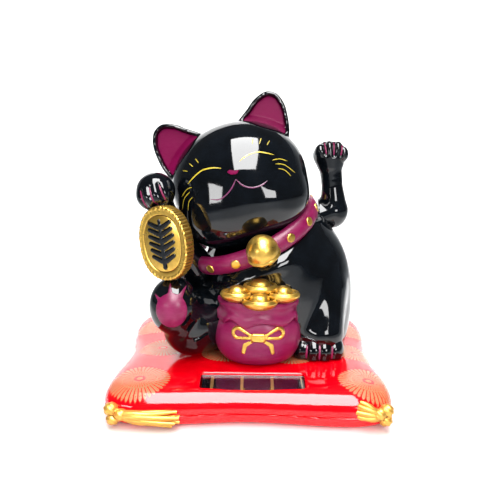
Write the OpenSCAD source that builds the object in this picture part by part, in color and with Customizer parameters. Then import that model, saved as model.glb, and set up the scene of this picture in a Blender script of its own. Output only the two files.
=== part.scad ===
// Solar waving cat figurine on a square cushion base.
// Origin: middle of the base's underside. +Z up, the cat faces -Y.

/* [Base] */
// Half of the cushion's nominal width
base_half = 57; // [54:0.5:60]
// How far each side pulls in at its middle
base_dip = 3.5; // [2:0.5:5]
// Height of the widest line, where shell and tray meet
base_split_z = 5; // [4:0.5:6]
// Height of the cushion's crown
base_top_z = 15; // [14:0.5:16]
// Wall of the base mouldings
base_wall = 1.8; // [1.4:0.1:2.2]

/* [Solar window] */
// Width of the window opening
window_w = 40.5; // [36:0.5:42]
// Depth of the window opening
window_d = 12; // [10:0.5:13]
// Slope of the window towards the front, degrees
window_slope = 7; // [4:0.5:9]

/* [Cat] */
// Wall of the body and head shells
shell_wall = 1.6; // [1.2:0.1:2]
// Half width of the head
head_w = 28.6; // [28:0.1:28.8]
// Half depth of the head
head_d = 25; // [23:0.5:26]
// Half height of the head
head_h = 25.9; // [25:0.1:26]
// Roll of the head, its left ear high, degrees
head_roll = 18; // [15:1:20]
// Upward tilt of the face, degrees
head_pitch = 12; // [8:1:14]
// Outer radius of the collar band
collar_r = 29; // [28.5:0.1:29.3]
// Radius of the bell
bell_r = 7; // [6:0.1:7.4]
// Long radius of the coin
coin_h = 15.6; // [14:0.1:16]
// Short radius of the coin
coin_w = 11.8; // [10:0.1:12.5]
// Thickness of the coin
coin_t = 6; // [4:0.5:6.5]

/* [Waving arm] */
// Radius of the shoulder stub
stub_r = 7; // [6.5:0.1:7.2]
// Gap round the shoulder stub
stub_gap = 0.6; // [0.5:0.1:0.8]
// Radius of the steel axle
axle_r = 1; // [0.8:0.1:1.2]
// Radial running clearance of the axle
axle_gap = 0.05; // [0.03:0.01:0.08]
// Distance from the axle down to the magnet's underside
magnet_drop = 51.5; // [49:0.5:51.5]
// Radius of the magnet
magnet_r = 4; // [3:0.25:4.5]

/* [Hidden] */

joint_gap = 0.02;                 // between mouldings that touch
axle_y = 12;
axle_z = 71;
socket_x = 29.8;                  // floor of the shoulder socket
lever_x = 21.2;
collar_centre = [2.3, 2.5, 66.5];
collar_roll = 24.8;
collar_pitch = 13;
collar_half_h = 4;
neck_r = 24.2;
head_centre = [-3.84, -1.5, 87];
window_centre = [1.6, -42, 12.9];
base_screw_at = 36;
lens_t = 1.2;
cell_t = 1;
board_z = 5.2;
board_t = 1.2;
coil_x = lever_x;

// ---------- geometry helpers ----------

function lerp(a, b, t) = a + (b - a) * t;
function shrink(v, w) = v * max(0.05, 1 - w / norm(v));
function pitched(p, a) = [p[0], p[1] * cos(a) - p[2] * sin(a), p[1] * sin(a) + p[2] * cos(a)];
function rolled(p, a) = [p[0] * cos(a) - p[2] * sin(a), p[1], p[0] * sin(a) + p[2] * cos(a)];
function in_collar(p) = rolled(pitched(p, collar_pitch), collar_roll);

// A station is [centre, half width vector, half depth vector].
function level(ax, az, bx, bz, yc, d, fall) =
    [[(ax + bx) / 2, yc, (az + bz) / 2], [(bx - ax) / 2, 0, (bz - az) / 2], [0, d, fall]];
function neck_level(r, h) =
    [collar_centre + in_collar([0, 0, h]), in_collar([r, 0, 0]), in_collar([0, r, 0])];
function inset_station(s, w) = [s[0], shrink(s[1], w), shrink(s[2], w)];

// Catmull-Rom curve through stations, k steps between two of them.
function spline_at(s, i, t) =
    let (n = len(s) - 1, p0 = s[max(0, i - 1)], p1 = s[i], p2 = s[min(n, i + 1)], p3 = s[min(n, i + 2)])
    0.5 * (2 * p1 + t * (p2 - p0) + t * t * (2 * p0 - 5 * p1 + 4 * p2 - p3)
           + t * t * t * (3 * p1 - p0 - 3 * p2 + p3));
function smooth(s, k) =
    [for (i = [0:len(s) - 2], j = [0:k - 1]) spline_at(s, i, j / k), s[len(s) - 1]];

function arc_ring(s, a0, a1, n) =
    [for (i = [0:n]) let (a = lerp(a0, a1, i / n)) s[0] + s[1] * cos(a) + s[2] * sin(a)];
function loop_ring(s, n) = [for (i = [0:n - 1]) let (a = 360 * i / n) s[0] + s[1] * cos(a) + s[2] * sin(a)];
// Inner stations: inset all round, pulled back at a closed last end.
function inner_stations(s, w, closed) =
    let (m = len(s) - 1, back = w * (s[m][0] - s[m - 1][0]) / norm(s[m][0] - s[m - 1][0]))
    [for (j = [0:m]) let (q = inset_station(s[j], w)) (closed && j == m) ? [q[0] - back, q[1], q[2]] : q];
function flat_list(l) = [for (a = l, b = a) b];
function flipped(faces) = [for (f = faces) [for (i = [len(f) - 1:-1:0]) f[i]]];

// Half shell between matching outer and inner arcs; each end is open or closed.
module half_shell(outer, inner, start_closed = false, end_closed = false) {
    m = len(outer) - 1;
    n = len(outer[0]) - 1;
    function o(j, i) = j * (n + 1) + i;
    function q(j, i) = (m + 1 + j) * (n + 1) + i;
    skin = [for (j = [0:m - 1], i = [0:n - 1]) [o(j, i), o(j + 1, i), o(j + 1, i + 1), o(j, i + 1)]];
    lining = [for (j = [0:m - 1], i = [0:n - 1]) [q(j, i), q(j, i + 1), q(j + 1, i + 1), q(j + 1, i)]];
    seam = [for (j = [0:m - 1]) each [[o(j, 0), q(j, 0), q(j + 1, 0), o(j + 1, 0)],
                                      [o(j, n), o(j + 1, n), q(j + 1, n), q(j, n)]]];
    first = start_closed
        ? [[for (i = [0:n]) o(0, i)], [for (i = [n:-1:0]) q(0, i)], [o(0, 0), o(0, n), q(0, n), q(0, 0)]]
        : [for (i = [0:n - 1]) [o(0, i), o(0, i + 1), q(0, i + 1), q(0, i)]];
    last = end_closed
        ? [[for (i = [n:-1:0]) o(m, i)], [for (i = [0:n]) q(m, i)], [o(m, 0), q(m, 0), q(m, n), o(m, n)]]
        : [for (i = [0:n - 1]) [o(m, i), q(m, i), q(m, i + 1), o(m, i + 1)]];
    polyhedron(concat(flat_list(outer), flat_list(inner)), concat(skin, lining, seam, first, last), convexity = 6);
}

// Solid through closed rings, fanned at both ends.
module ring_solid(rings) {
    m = len(rings) - 1;
    n = len(rings[0]);
    function o(j, i) = j * n + i % n;
    sides = [for (j = [0:m - 1], i = [0:n - 1]) [o(j, i), o(j + 1, i), o(j + 1, i + 1), o(j, i + 1)]];
    ends = [[for (i = [0:n - 1]) o(0, i)], [for (i = [n - 1:-1:0]) o(m, i)]];
    polyhedron(flat_list(rings), concat(sides, ends), convexity = 6);
}

// Tray or lid: outer and inner rings, open at the first ring, closed at the last.
module lid_shell(outer, inner) {
    m = len(outer) - 1;
    n = len(outer[0]);
    function o(j, i) = j * n + i % n;
    function q(j, i) = (m + 1 + j) * n + i % n;
    top = 2 * (m + 1) * n;
    mid = function (r) [for (k = [0:2]) let (c = [for (p = r) p[k]]) (c * [for (p = r) 1]) / n];
    skin = [for (j = [0:m - 1], i = [0:n - 1]) [o(j, i), o(j + 1, i), o(j + 1, i + 1), o(j, i + 1)]];
    lining = [for (j = [0:m - 1], i = [0:n - 1]) [q(j, i), q(j, i + 1), q(j + 1, i + 1), q(j + 1, i)]];
    lip = [for (i = [0:n - 1]) [o(0, i), o(0, i + 1), q(0, i + 1), q(0, i)]];
    caps = [for (i = [0:n - 1]) each [[o(m, i), top, o(m, i + 1)], [q(m, i), q(m, i + 1), top + 1]]];
    polyhedron(concat(flat_list(outer), flat_list(inner), [mid(outer[m]), mid(inner[m])]),
               concat(skin, lining, lip, caps), convexity = 6);
}

// Chain of balls joined by straight tapers.
module limb(balls) {
    for (i = [0:len(balls) - 2])
        hull() for (b = [balls[i], balls[i + 1]]) translate([b[0], b[1], b[2]]) sphere(r = b[3], $fn = 24);
}

// Straight rod between two points.
module rod(a, b, r) {
    d = b - a;
    translate(a) rotate([0, acos(d[2] / norm(d)), atan2(d[1], d[0])]) cylinder(r = r, h = norm(d), $fn = 24);
}

// ---------- cushion base ----------

// Outline radius of the cushion in the direction a.
function cushion_r(a) =
    base_half / pow(pow(abs(cos(a)), 8) + pow(abs(sin(a)), 8), 1 / 8)
    * (1 - base_dip / base_half * pow(cos(2 * a), 2));
function cushion_ring(inset, z) =
    [for (i = [0:59]) let (a = 6 * i, r = cushion_r(a) - inset) [r * cos(a), r * sin(a), z]];
// Crown profile: height above the split line against the distance from the edge.
crown_reach = 20;
crown_steps = [0, 0.02, 0.06, 0.12, 0.22, 0.36, 0.55, 0.78, 1];
function crown_z(t) = base_split_z + (base_top_z - base_split_z) * pow(1 - pow(1 - t, 2.6), 1 / 2.6);
crown_outer = [for (t = crown_steps) cushion_ring(t * crown_reach, crown_z(t))];
crown_inner = [for (t = crown_steps)
    cushion_ring(base_wall + t * crown_reach, lerp(crown_z(t), crown_z(t) - base_wall, min(1, t / 0.06)))];
// Tray profile as [inset, z], from the split line down to the floor.
tray_steps = [[0, base_split_z], [0.4, 3.2], [1.6, 1.4], [3.6, 0.3], [5.5, 0]];
floor_t = 2;

module window_place() {
    translate(window_centre) rotate([window_slope, 0, 0]) children();
}

module base_screw_places() {
    for (x = [-base_screw_at, base_screw_at], y = [-base_screw_at + 5, base_screw_at]) translate([x, y, 0]) children();
}

module base_top_shell() {
    color("red") difference() {
        union() {
            lid_shell(crown_outer, crown_inner);
            base_screw_places() translate([0, 0, floor_t]) cylinder(r = 3, h = 12, $fn = 32);
        }
        window_place() translate([-window_w / 2, -window_d / 2, -4]) cube([window_w, window_d, 10]);
        // way through for the magnet's field, under the pendulum
        translate([lever_x, axle_y, 8]) cylinder(r = 6, h = 10, $fn = 32);
        base_screw_places() translate([0, 0, 0]) cylinder(r = 1, h = 10, $fn = 32);
        body_screw_places() translate([0, 0, 8]) cylinder(r = 1.3, h = 10, $fn = 32);
    }
}

module base_bottom_tray() {
    rings = [for (s = tray_steps) cushion_ring(s[0], s[1])];
    lining = [for (s = tray_steps) cushion_ring(s[0] + base_wall, min(base_split_z, s[1] + floor_t * min(1, s[0] / 1.6)))];
    color("firebrick") difference() {
        union() {
            mirror([0, 0, 1]) lid_shell([for (r = rings) [for (p = r) [p[0], p[1], -p[2]]]],
                                        [for (r = lining) [for (p = r) [p[0], p[1], -p[2]]]]);
            for (p = [[8, 2], [30, 2], [8, 22], [30, 22]])
                translate([p[0], p[1], floor_t - 0.5]) cylinder(r = 1.5, h = board_z - floor_t + 0.5 - joint_gap, $fn = 24);
        }
        base_screw_places() {
            translate([0, 0, -1]) cylinder(r = 1.2, h = 5, $fn = 32);
            translate([0, 0, -1]) cylinder(r = 2.6, h = 2.3, $fn = 32);
        }
    }
}

module base_screws() {
    color("silver") base_screw_places() {
        translate([0, 0, 0.2]) cylinder(r = 2.3, h = 1.1, $fn = 32);
        translate([0, 0, 1.2]) cylinder(r = 0.98, h = 7.5, $fn = 32);
    }
}

// ---------- solar drive ----------

module window_lens() {
    color("dimgray", 0.5) window_place() translate([-window_w / 2 + 0.1, -window_d / 2 + 0.1, -0.9])
        cube([window_w - 0.2, window_d - 0.2, lens_t]);
}

module solar_cell() {
    color("midnightblue") window_place() translate([-window_w / 2 + 0.6, -window_d / 2 + 0.6, -0.9 - cell_t - joint_gap])
        cube([window_w - 1.2, window_d - 1.2, cell_t]);
}

// Two thin leads from the cell's back down to the board.
module cell_leads() {
    for (k = [0, 1]) color(k == 0 ? "red" : "black")
        rod([10 + 4 * k, -38, 10.4], [14 + 4 * k, -1.2, board_z + board_t - 0.6], 0.5);
}

module circuit_board() {
    color("darkgreen") translate([4, -1, board_z]) cube([30, 26, board_t]);
}

module capacitor() {
    color("black") translate([7, 6, board_z + board_t + 2.52]) rotate([-90, 0, 0]) cylinder(r = 2.5, h = 10, $fn = 32);
}

module driver_chip() {
    color("dimgray") translate([29.5, 4, board_z + board_t + joint_gap]) cylinder(r = 2, h = 1.2, $fn = 32);
}

module coil_bobbin() {
    color("ivory") translate([coil_x, axle_y, board_z + board_t + joint_gap]) difference() {
        union() {
            cylinder(r = 6.6, h = 0.6, $fn = 48);
            cylinder(r = 2.4, h = 4.6, $fn = 48);
            translate([0, 0, 4]) cylinder(r = 6.6, h = 0.6, $fn = 48);
        }
        translate([0, 0, -1]) cylinder(r = 1.6, h = 8, $fn = 48);
    }
}

module drive_coil() {
    color("peru") translate([coil_x, axle_y, board_z + board_t + 0.64 + joint_gap]) difference() {
        cylinder(r = 6.2, h = 3.32, $fn = 48);
        translate([0, 0, -1]) cylinder(r = 2.44, h = 6, $fn = 48);
    }
}

// ---------- corner tassels ----------

module cushion_solid() {
    ring_solid(concat([for (i = [len(tray_steps) - 1:-1:1]) cushion_ring(tray_steps[i][0] - 0.03, tray_steps[i][1])],
                      [for (t = crown_steps) cushion_ring(t * crown_reach - 0.03, crown_z(t))]));
}

module tassel_left() {
    color("goldenrod") difference() {
        limb([[-50.6, -54.8, 6, 3.9], [-44.5, -57.4, 5, 2.6], [-38, -57.4, 4.2, 2.4], [-25.5, -56.4, 3.9, 3.6]]);
        cushion_solid();
    }
}

module tassel_right() {
    color("goldenrod") difference() {
        limb([[51.3, -54.8, 6.6, 3.9], [46, -57.4, 7, 2.6], [42.5, -57.4, 8.4, 3.2]]);
        cushion_solid();
    }
}

// ---------- cat's body ----------

body_stations = smooth([
    level(-26, 15.05, 43.8, 15.05, 9, 25, 0),
    level(-31.5, 22, 46, 25, 9, 27, 0),
    level(-32.6, 31, 46.6, 34, 8.5, 27.5, 1),
    level(-31.5, 39, 44.8, 47, 6.5, 27.5, 2),
    level(-28.5, 46.5, 40.8, 59.5, 4, 27, 4),
    neck_level(29.5, -9),
    neck_level(26.6, -4.9),
    neck_level(neck_r, -3.6),
    neck_level(neck_r, -0.9)], 3);
arc_n = 18;

module body_half(a0, a1) {
    inner = inner_stations(body_stations, shell_wall, false);
    half_shell([for (s = body_stations) arc_ring(s, a0, a1, arc_n)], [for (s = inner) arc_ring(s, a0, a1, arc_n)]);
}

module body_solid() {
    ring_solid([for (s = body_stations) loop_ring(s, 36)]);
}

module body_screw_places() {
    for (p = [[-18, 0], [32, 0], [7, 28]]) translate([p[0], p[1], 0]) children();
}

module shoulder_axis(x) {
    translate([x, axle_y, axle_z]) rotate([0, 90, 0]) children();
}

module body_front_shell() {
    color("#101018") body_half(180, 360);
}

module body_rear_shell() {
    color("#101018") difference() {
        union() {
            body_half(0, 180);
            intersection() {
                body_solid();
                union() {
                    shoulder_axis(socket_x - 1.6) cylinder(r = stub_r + stub_gap + 1.4, h = 30, $fn = 48);
                    bracket_screw_places() translate([0, 0, bracket_back]) cylinder(r = 2, h = 30, $fn = 32);
                }
                translate([-60, axle_y - 7, 0]) cube([120, 60, 120]);
            }
        }
        shoulder_axis(socket_x) cylinder(r = stub_r + stub_gap, h = 30, $fn = 48);
        shoulder_axis(socket_x - 10) cylinder(r = 2, h = 30, $fn = 48);
        bracket_screw_places() cylinder(r = 0.88, h = bracket_back + 4, $fn = 32);
    }
}

// Screws from inside the base up into the body's feet lugs.
module body_screws() {
    color("silver") body_screw_places() {
        translate([0, 0, 12.0]) cylinder(r = 2.2, h = 1.15, $fn = 32);
        translate([0, 0, 13]) cylinder(r = 1, h = 6, $fn = 32);
    }
}

module collar_place() {
    translate(collar_centre) rotate([0, -collar_roll, 0]) rotate([collar_pitch, 0, 0]) children();
}

// Half-round band with a thin inner flange that the head and the neck close on.
module collar() {
    color("mediumvioletred") collar_place() rotate_extrude($fn = 96) {
        intersection() {
            translate([collar_r - 4.4, 0]) circle(r = 4.4, $fn = 48);
            translate([neck_r + 0.3, -collar_half_h]) square([10, 2 * collar_half_h]);
        }
        translate([20.4, -0.8]) square([neck_r + 0.4 - 20.4, 1.6]);
    }
}

// Space that the collar takes, with a little room, for cutting what is glued to it.
module collar_space() {
    collar_place() {
        cylinder(r = neck_r + 1, h = 2 * collar_half_h + 0.2, center = true, $fn = 48);
        rotate_extrude($fn = 96) translate([collar_r - 4.4, 0]) circle(r = 4.45, $fn = 48);
    }
}

module bell() {
    color("gold") difference() {
        translate([4.9, -31, 63.4]) difference() {
            union() {
                sphere(r = bell_r, $fn = 48);
                rotate([8, 0, 0]) cylinder(r = bell_r + 0.5, h = 1.4, center = true, $fn = 48);
            }
            sphere(r = bell_r - 1, $fn = 48);
            rotate([8, 0, 0]) translate([-0.6, -12, -8]) cube([1.2, 12, 6]);
        }
        collar_space();
    }
}

// ---------- cat's head ----------

module head_place() {
    translate(head_centre) rotate([0, -head_roll, 0]) rotate([-head_pitch, 0, 0]) children();
}

function head_stations(w, d, h) =
    [for (t = [-85, -76, -66, -55, -44, -33, -22, -11, 0, 11, 22, 33, 44, 55, 66, 76, 85])
        [[0, 0, h * sin(t)], [w * cos(t), 0, 0], [0, d * cos(t), 0]]];

module head_half(a0, a1) {
    inner = head_stations(head_w - shell_wall, head_d - shell_wall, head_h - shell_wall);
    half_shell([for (s = head_stations(head_w, head_d, head_h)) arc_ring(s, a0, a1, arc_n)],
               [for (s = inner) arc_ring(s, a0, a1, arc_n)], true, true);
}

// Half of both ears, on the front or the rear side of the seam.
module ear_halves(side) {
    for (m = [-1, 1]) hull() for (p = [[10.5, 23, 1.6], [25.6, 13.4, 1.6], [23.9, 30.6, 2.4]])
        translate([m * p[0], 0, p[1]]) rotate([side * 90, 0, 0]) cylinder(r = p[2], h = 3, $fn = 32);
}

module head_front_shell() {
    color("#101018") head_place() difference() {
        union() {
            head_half(180, 360);
            ear_halves(1);
        }
        for (m = [-1, 1]) hull() for (p = [[12.6, 24, 0.8], [24.6, 15.8, 0.8], [23.6, 29.6, 1.2]])
            translate([m * p[0], -2, p[1]]) rotate([90, 0, 0]) cylinder(r = p[2], h = 3, $fn = 32);
    }
}

module head_rear_shell() {
    color("#101018") head_place() union() {
        head_half(0, 180);
        ear_halves(-1);
    }
}

// ---------- limbs and what the cat holds ----------

module holding_arm() {
    color("#101018") difference() {
        limb([[-38.6, -15.5, 84.6, 7.8], [-35.4, -13, 73, 6.2], [-30, -10, 61, 7.6], [-24, -5, 51, 8.5]]);
        body_solid();
        collar_space();
        coin_place() translate([0, 0, -coin_t / 2 - 0.02]) cylinder(r = 24, h = 20, $fn = 32);
    }
}

module left_leg() {
    color("#101018") difference() {
        union() {
            limb([[-30.2, -25, 38.5, 9.4], [-25, -18, 30, 11.5]]);
            limb([[-25, -18, 27, 11.2], [-12, -8, 29, 12]]);
        }
        body_solid();
        bag_solid();
        translate([-70, -60, -0.2]) cube([100, 100, 15.3]);
    }
}

module right_foot() {
    color("#101018") difference() {
        union() {
            for (k = [0:3]) hull() {
                translate([22.6 + 4.4 * k, -20.4 + 0.8 * abs(k - 1.5), 19]) sphere(r = 4.2, $fn = 24);
                translate([26 + 2.2 * k, -8, 21]) sphere(r = 5, $fn = 24);
            }
            limb([[29.5, -12, 22, 8.5], [29.5, -9, 36, 8.6]]);
        }
        body_solid();
        bag_solid();
        translate([0, -60, -0.2]) cube([100, 100, 15.3]);
    }
}

module coin_place() {
    translate([-33.2, -27.4, 65.5]) rotate([0, 0, -28]) rotate([0, -9, 0]) rotate([90, 0, 0]) children();
}

module coin() {
    color("gold") coin_place() translate([0, 0, -coin_t / 2]) {
        linear_extrude(coin_t - 1) coin_outline(0);
        linear_extrude(coin_t) difference() { coin_outline(0); coin_outline(1.6); }
    }
}

module coin_outline(inset) {
    polygon([for (a = [0:6:354]) let (w = pow(abs(cos(a)), 0.9) * sign(cos(a)), h = pow(abs(sin(a)), 0.9) * sign(sin(a)))
        [(coin_w - inset) * w, (coin_h - inset) * h]]);
}

bag_stations = smooth([
    level(-5, 15.1, 12.5, 15.1, -19.6, 5, 0),
    level(-11, 18, 18.5, 18, -19.6, 10, 0),
    level(-14, 25, 21.4, 26, -19.6, 13.4, 0),
    level(-13.4, 31, 20.8, 31, -19.6, 13, 0),
    level(-11, 36.5, 18.4, 36.5, -19.6, 10.8, 0),
    level(-12.9, 40.4, 20.5, 40, -19.6, 13, 0),
    level(-12, 42.4, 19.6, 42, -19.6, 12, 0)], 2);

module bag_solid() {
    ring_solid([for (s = bag_stations) arc_ring(s, 180, 360, 20)]);
}

module money_bag() {
    color("mediumvioletred") difference() {
        bag_solid();
        body_solid();
    }
}

// Ingots: middle x, front y, length along y, half width.
ingot_places = [[4.2, -29.6, 5.4, 4.4], [-5.2, -29.4, 5.4, 4.5], [13.4, -29.4, 5.4, 4.4], [4, -33.6, 3.8, 4.6]];
ingot_seat_z = 42.5;

module ingots() {
    color("gold") for (p = ingot_places) translate([p[0], p[1] + p[2], ingot_seat_z]) rotate([90, 0, 0])
        linear_extrude(p[2]) ingot_outline(p[3]);
}

// Boat shape with raised ends and a domed middle.
module ingot_outline(w) {
    polygon([[-0.6 * w, 0], [0.6 * w, 0], [0.85 * w, 1.2], [w, 3.2], [0.62 * w, 2.8],
        [0.4 * w, 4.4], [0, 5.2], [-0.4 * w, 4.4], [-0.62 * w, 2.8], [-w, 3.2], [-0.85 * w, 1.2]]);
}

// Ribbon bow: two loops, a knot and two tails.
module bag_bow() {
    color("gold") translate([3.7, -33.1, 28.6]) rotate([90, 0, 0]) linear_extrude(1.8) {
        square([4.4, 3.6], center = true);
        for (m = [-1, 1]) {
            translate([m * 4.8, 1]) difference() {
                circle(r = 3.4, $fn = 32);
                circle(r = 1.5, $fn = 32);
            }
            polygon([[m * 1, -1], [m * 2.6, -1], [m * 6, -6.6], [m * 4, -6.8]]);
        }
    }
}

// ---------- waving mechanism ----------

bracket_ears = [16.4, 24.2];
bracket_ear_t = 2;
bracket_back = 5.7;

// Screw axes of the bracket, pointing backwards from the axle's plane.
module bracket_screw_places() {
    for (x = [17.7, 24.7]) translate([x, axle_y, axle_z - 6.4]) rotate([-90, 0, 0]) children();
}

module bearing_bracket() {
    color("ivory") difference() {
        union() {
            translate([bracket_ears[0] - 0.4, axle_y + bracket_back - 1.8, axle_z - 8.2])
                cube([bracket_ears[1] + bracket_ear_t - bracket_ears[0] + 0.6, 1.78, 7]);
            for (x = bracket_ears) {
                translate([x, axle_y, axle_z - 4.4]) cube([bracket_ear_t, bracket_back - 1, 4.4]);
                shoulder_axis(x) cylinder(r = 2.4, h = bracket_ear_t, $fn = 48);
            }
        }
        shoulder_axis(0) cylinder(r = axle_r + axle_gap, h = 40, $fn = 48);
        bracket_screw_places() cylinder(r = 0.9, h = 12, $fn = 32);
    }
}

module bracket_screws() {
    color("silver") bracket_screw_places() {
        translate([0, 0, bracket_back - 2.8]) cylinder(r = 1.7, h = 0.98, $fn = 32);
        translate([0, 0, bracket_back - 2]) cylinder(r = 0.86, h = 5, $fn = 32);
    }
}

module swing_axle() {
    color("silver") shoulder_axis(16) cylinder(r = axle_r, h = 20, $fn = 48);
}

// Each station is the inner point, the outer point (x, z) and the half depth.
function arm_station(ax, az, bx, bz, d) =
    [[(ax + bx) / 2, axle_y, (az + bz) / 2], [(bx - ax) / 2, 0, (bz - az) / 2], [0, d, 0]];
arm_stations = smooth([
    arm_station(30.2, axle_z + stub_r, 30.2, axle_z - stub_r, stub_r),
    arm_station(30.9, 78.1, 35.6, 64.6, 7),
    arm_station(31.6, 78.6, 41.4, 68, 6.8),
    arm_station(32, 79.3, 43.3, 74.6, 6.4),
    arm_station(32.1, 80.4, 42.6, 80.4, 5.8),
    arm_station(31.5, 88, 40.3, 88, 4.8),
    arm_station(29, 92.4, 41.2, 92.6, 5.6),
    arm_station(27.2, 97, 41.9, 97.2, 6.3),
    arm_station(27.8, 101.2, 41.2, 101.4, 5.8),
    arm_station(30.5, 104.2, 38.6, 104.2, 3.6),
    arm_station(33.6, 105, 35.8, 105, 1)], 2);
arm_wall = 1.3;

module arm_half(a0, a1) {
    inner = inner_stations(arm_stations, arm_wall, true);
    half_shell([for (s = arm_stations) arc_ring(s, a0, a1, 14)], [for (s = inner) arc_ring(s, a0, a1, 14)], false, true);
}

module arm_front_half() {
    color("#101018") arm_half(180, 360);
}

module arm_rear_half() {
    color("#101018") difference() {
        union() {
            arm_half(0, 180);
            shoulder_axis(30.4) cylinder(r = 2.6, h = 6.2, $fn = 48);
            translate([30.4, axle_y, axle_z - 0.8]) cube([4, stub_r - 0.8, 1.6]);
        }
        shoulder_axis(30) cylinder(r = axle_r, h = 6.1, $fn = 48);
    }
}

module pendulum_lever() {
    color("ivory") difference() {
        union() {
            shoulder_axis(lever_x - 1.8) cylinder(r = 2.4, h = 3.6, $fn = 48);
            translate([lever_x - 1.5, axle_y - 1.2, axle_z - magnet_drop + 4]) cube([3, 2.4, magnet_drop - 5]);
            translate([lever_x, axle_y, axle_z - magnet_drop]) cylinder(r = magnet_r + 1, h = 4.6, $fn = 48);
        }
        shoulder_axis(lever_x - 5) cylinder(r = axle_r, h = 10, $fn = 48);
        translate([lever_x, axle_y, axle_z - magnet_drop - 1]) cylinder(r = magnet_r, h = 4, $fn = 48);
    }
}

module magnet() {
    color("silver") translate([lever_x, axle_y, axle_z - magnet_drop]) cylinder(r = magnet_r, h = 3, $fn = 48);
}

base_top_shell();
base_bottom_tray();
base_screws();
window_lens();
solar_cell();
cell_leads();
circuit_board();
capacitor();
driver_chip();
coil_bobbin();
drive_coil();
tassel_left();
tassel_right();
body_front_shell();
body_rear_shell();
body_screws();
collar();
bell();
head_front_shell();
head_rear_shell();
holding_arm();
left_leg();
right_foot();
coin();
money_bag();
ingots();
bag_bow();
bearing_bracket();
bracket_screws();
swing_axle();
arm_front_half();
arm_rear_half();
pendulum_lever();
magnet();
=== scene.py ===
import math

import bmesh
import bpy
import numpy as np
from mathutils import Matrix, Vector


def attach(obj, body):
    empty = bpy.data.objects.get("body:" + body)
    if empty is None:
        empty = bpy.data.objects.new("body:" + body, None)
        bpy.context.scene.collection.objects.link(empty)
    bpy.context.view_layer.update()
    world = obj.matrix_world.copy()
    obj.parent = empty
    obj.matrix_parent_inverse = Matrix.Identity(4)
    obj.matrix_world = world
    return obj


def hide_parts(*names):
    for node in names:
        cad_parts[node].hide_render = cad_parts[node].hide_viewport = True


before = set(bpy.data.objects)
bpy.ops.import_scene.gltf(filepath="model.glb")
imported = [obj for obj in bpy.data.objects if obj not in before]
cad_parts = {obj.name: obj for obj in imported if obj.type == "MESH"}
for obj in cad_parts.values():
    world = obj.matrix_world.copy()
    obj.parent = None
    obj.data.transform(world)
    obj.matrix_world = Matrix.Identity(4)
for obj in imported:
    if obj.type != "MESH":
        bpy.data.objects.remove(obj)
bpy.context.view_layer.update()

bl_info = {
    "name": "Beckoning Cat Figurine",
    "version": (1, 0, 0),
    "blender": (4, 5, 0),
    "location": "View3D > Sidebar > Waving Cat",
    "description": "Builds the finished surfaces of a solar waving cat round its packed frame",
    "category": "Object",
}

MM = 0.001
FIGURE = "figure"
ARM = "waving_arm"


# ---------------------------------------------------------------- places and curves

def turn(axis, degrees):
    """Rotation matrix about the x, y or z axis."""
    a = math.radians(degrees)
    c, s = math.cos(a), math.sin(a)
    return np.array({
        "x": [[1, 0, 0], [0, c, -s], [0, s, c]],
        "y": [[c, 0, s], [0, 1, 0], [-s, 0, c]],
        "z": [[c, -s, 0], [s, c, 0], [0, 0, 1]],
    }[axis], float)


class Place:
    """An origin in millimetres and three local axes, the columns of a matrix."""

    def __init__(self, origin=(0, 0, 0), axes=None):
        self.origin = np.array(origin, float)
        self.axes = np.eye(3) if axes is None else axes

    def world(self, points):
        return np.asarray(points, float) @ self.axes.T + self.origin

    def local(self, points):
        return (np.asarray(points, float) - self.origin) @ self.axes


WORLD = Place()
# The head rolls its left ear high and lifts its face; the collar rolls further and dips in front.
HEAD = Place((-3.84, -1.5, 87), turn("y", -18) @ turn("x", -12))
COLLAR = Place((2.3, 2.5, 66.5), turn("y", -24.8) @ turn("x", 13))
COLLAR_STRETCH, COLLAR_SHIFT = 1.06, -1.9
COIN = Place((-33.2, -27.4, 65.5), turn("z", -28) @ turn("y", -9) @ turn("x", 90))
WINDOW = Place((1.6, -42, 12.9), turn("x", 7))
SHOULDER = np.array((30.0, 12.0, 71.0))


def spline(points, steps):
    """Catmull-Rom curve through rows of numbers, steps rows from one to the next."""
    p = np.asarray(points, float)
    n = len(p) - 1
    rows = []
    for i in range(n):
        a, b, c, d = p[max(0, i - 1)], p[i], p[i + 1], p[min(n, i + 2)]
        for t in np.arange(steps) / steps:
            rows.append(0.5 * (2 * b + t * (c - a) + t * t * (2 * a - 5 * b + 4 * c - d)
                               + t ** 3 * (3 * b - a - 3 * c + d)))
    return np.array(rows + [p[n]])


# ---------------------------------------------------------------- fields: signed distances in mm

def egg(p, centre, radii):
    """Ellipsoid."""
    q = p - np.array(centre, float)
    r = np.array(radii, float)
    k0 = np.linalg.norm(q / r, axis=1)
    k1 = np.linalg.norm(q / (r * r), axis=1)
    return k0 * (k0 - 1) / np.maximum(k1, 1e-9)


def bone(p, a, b, ra, rb):
    """Rod with round ends whose radius goes from ra to rb."""
    a, b = np.array(a, float), np.array(b, float)
    ab = b - a
    h = np.clip((p - a) @ ab / (ab @ ab), 0, 1)
    return np.linalg.norm(p - a - h[:, None] * ab, axis=1) - (ra + (rb - ra) * h)


def join(d1, d2, k=0.0):
    """Union, blended over k millimetres."""
    if k <= 0:
        return np.minimum(d1, d2)
    h = np.maximum(k - np.abs(d1 - d2), 0) / k
    return np.minimum(d1, d2) - h * h * k / 4


def cut(d1, d2, k=0.0):
    """Keeps d1 outside d2."""
    return -join(-d1, d2, k)


def keep(d1, d2, k=0.0):
    """Intersection."""
    return -join(-d1, -d2, k)


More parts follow.
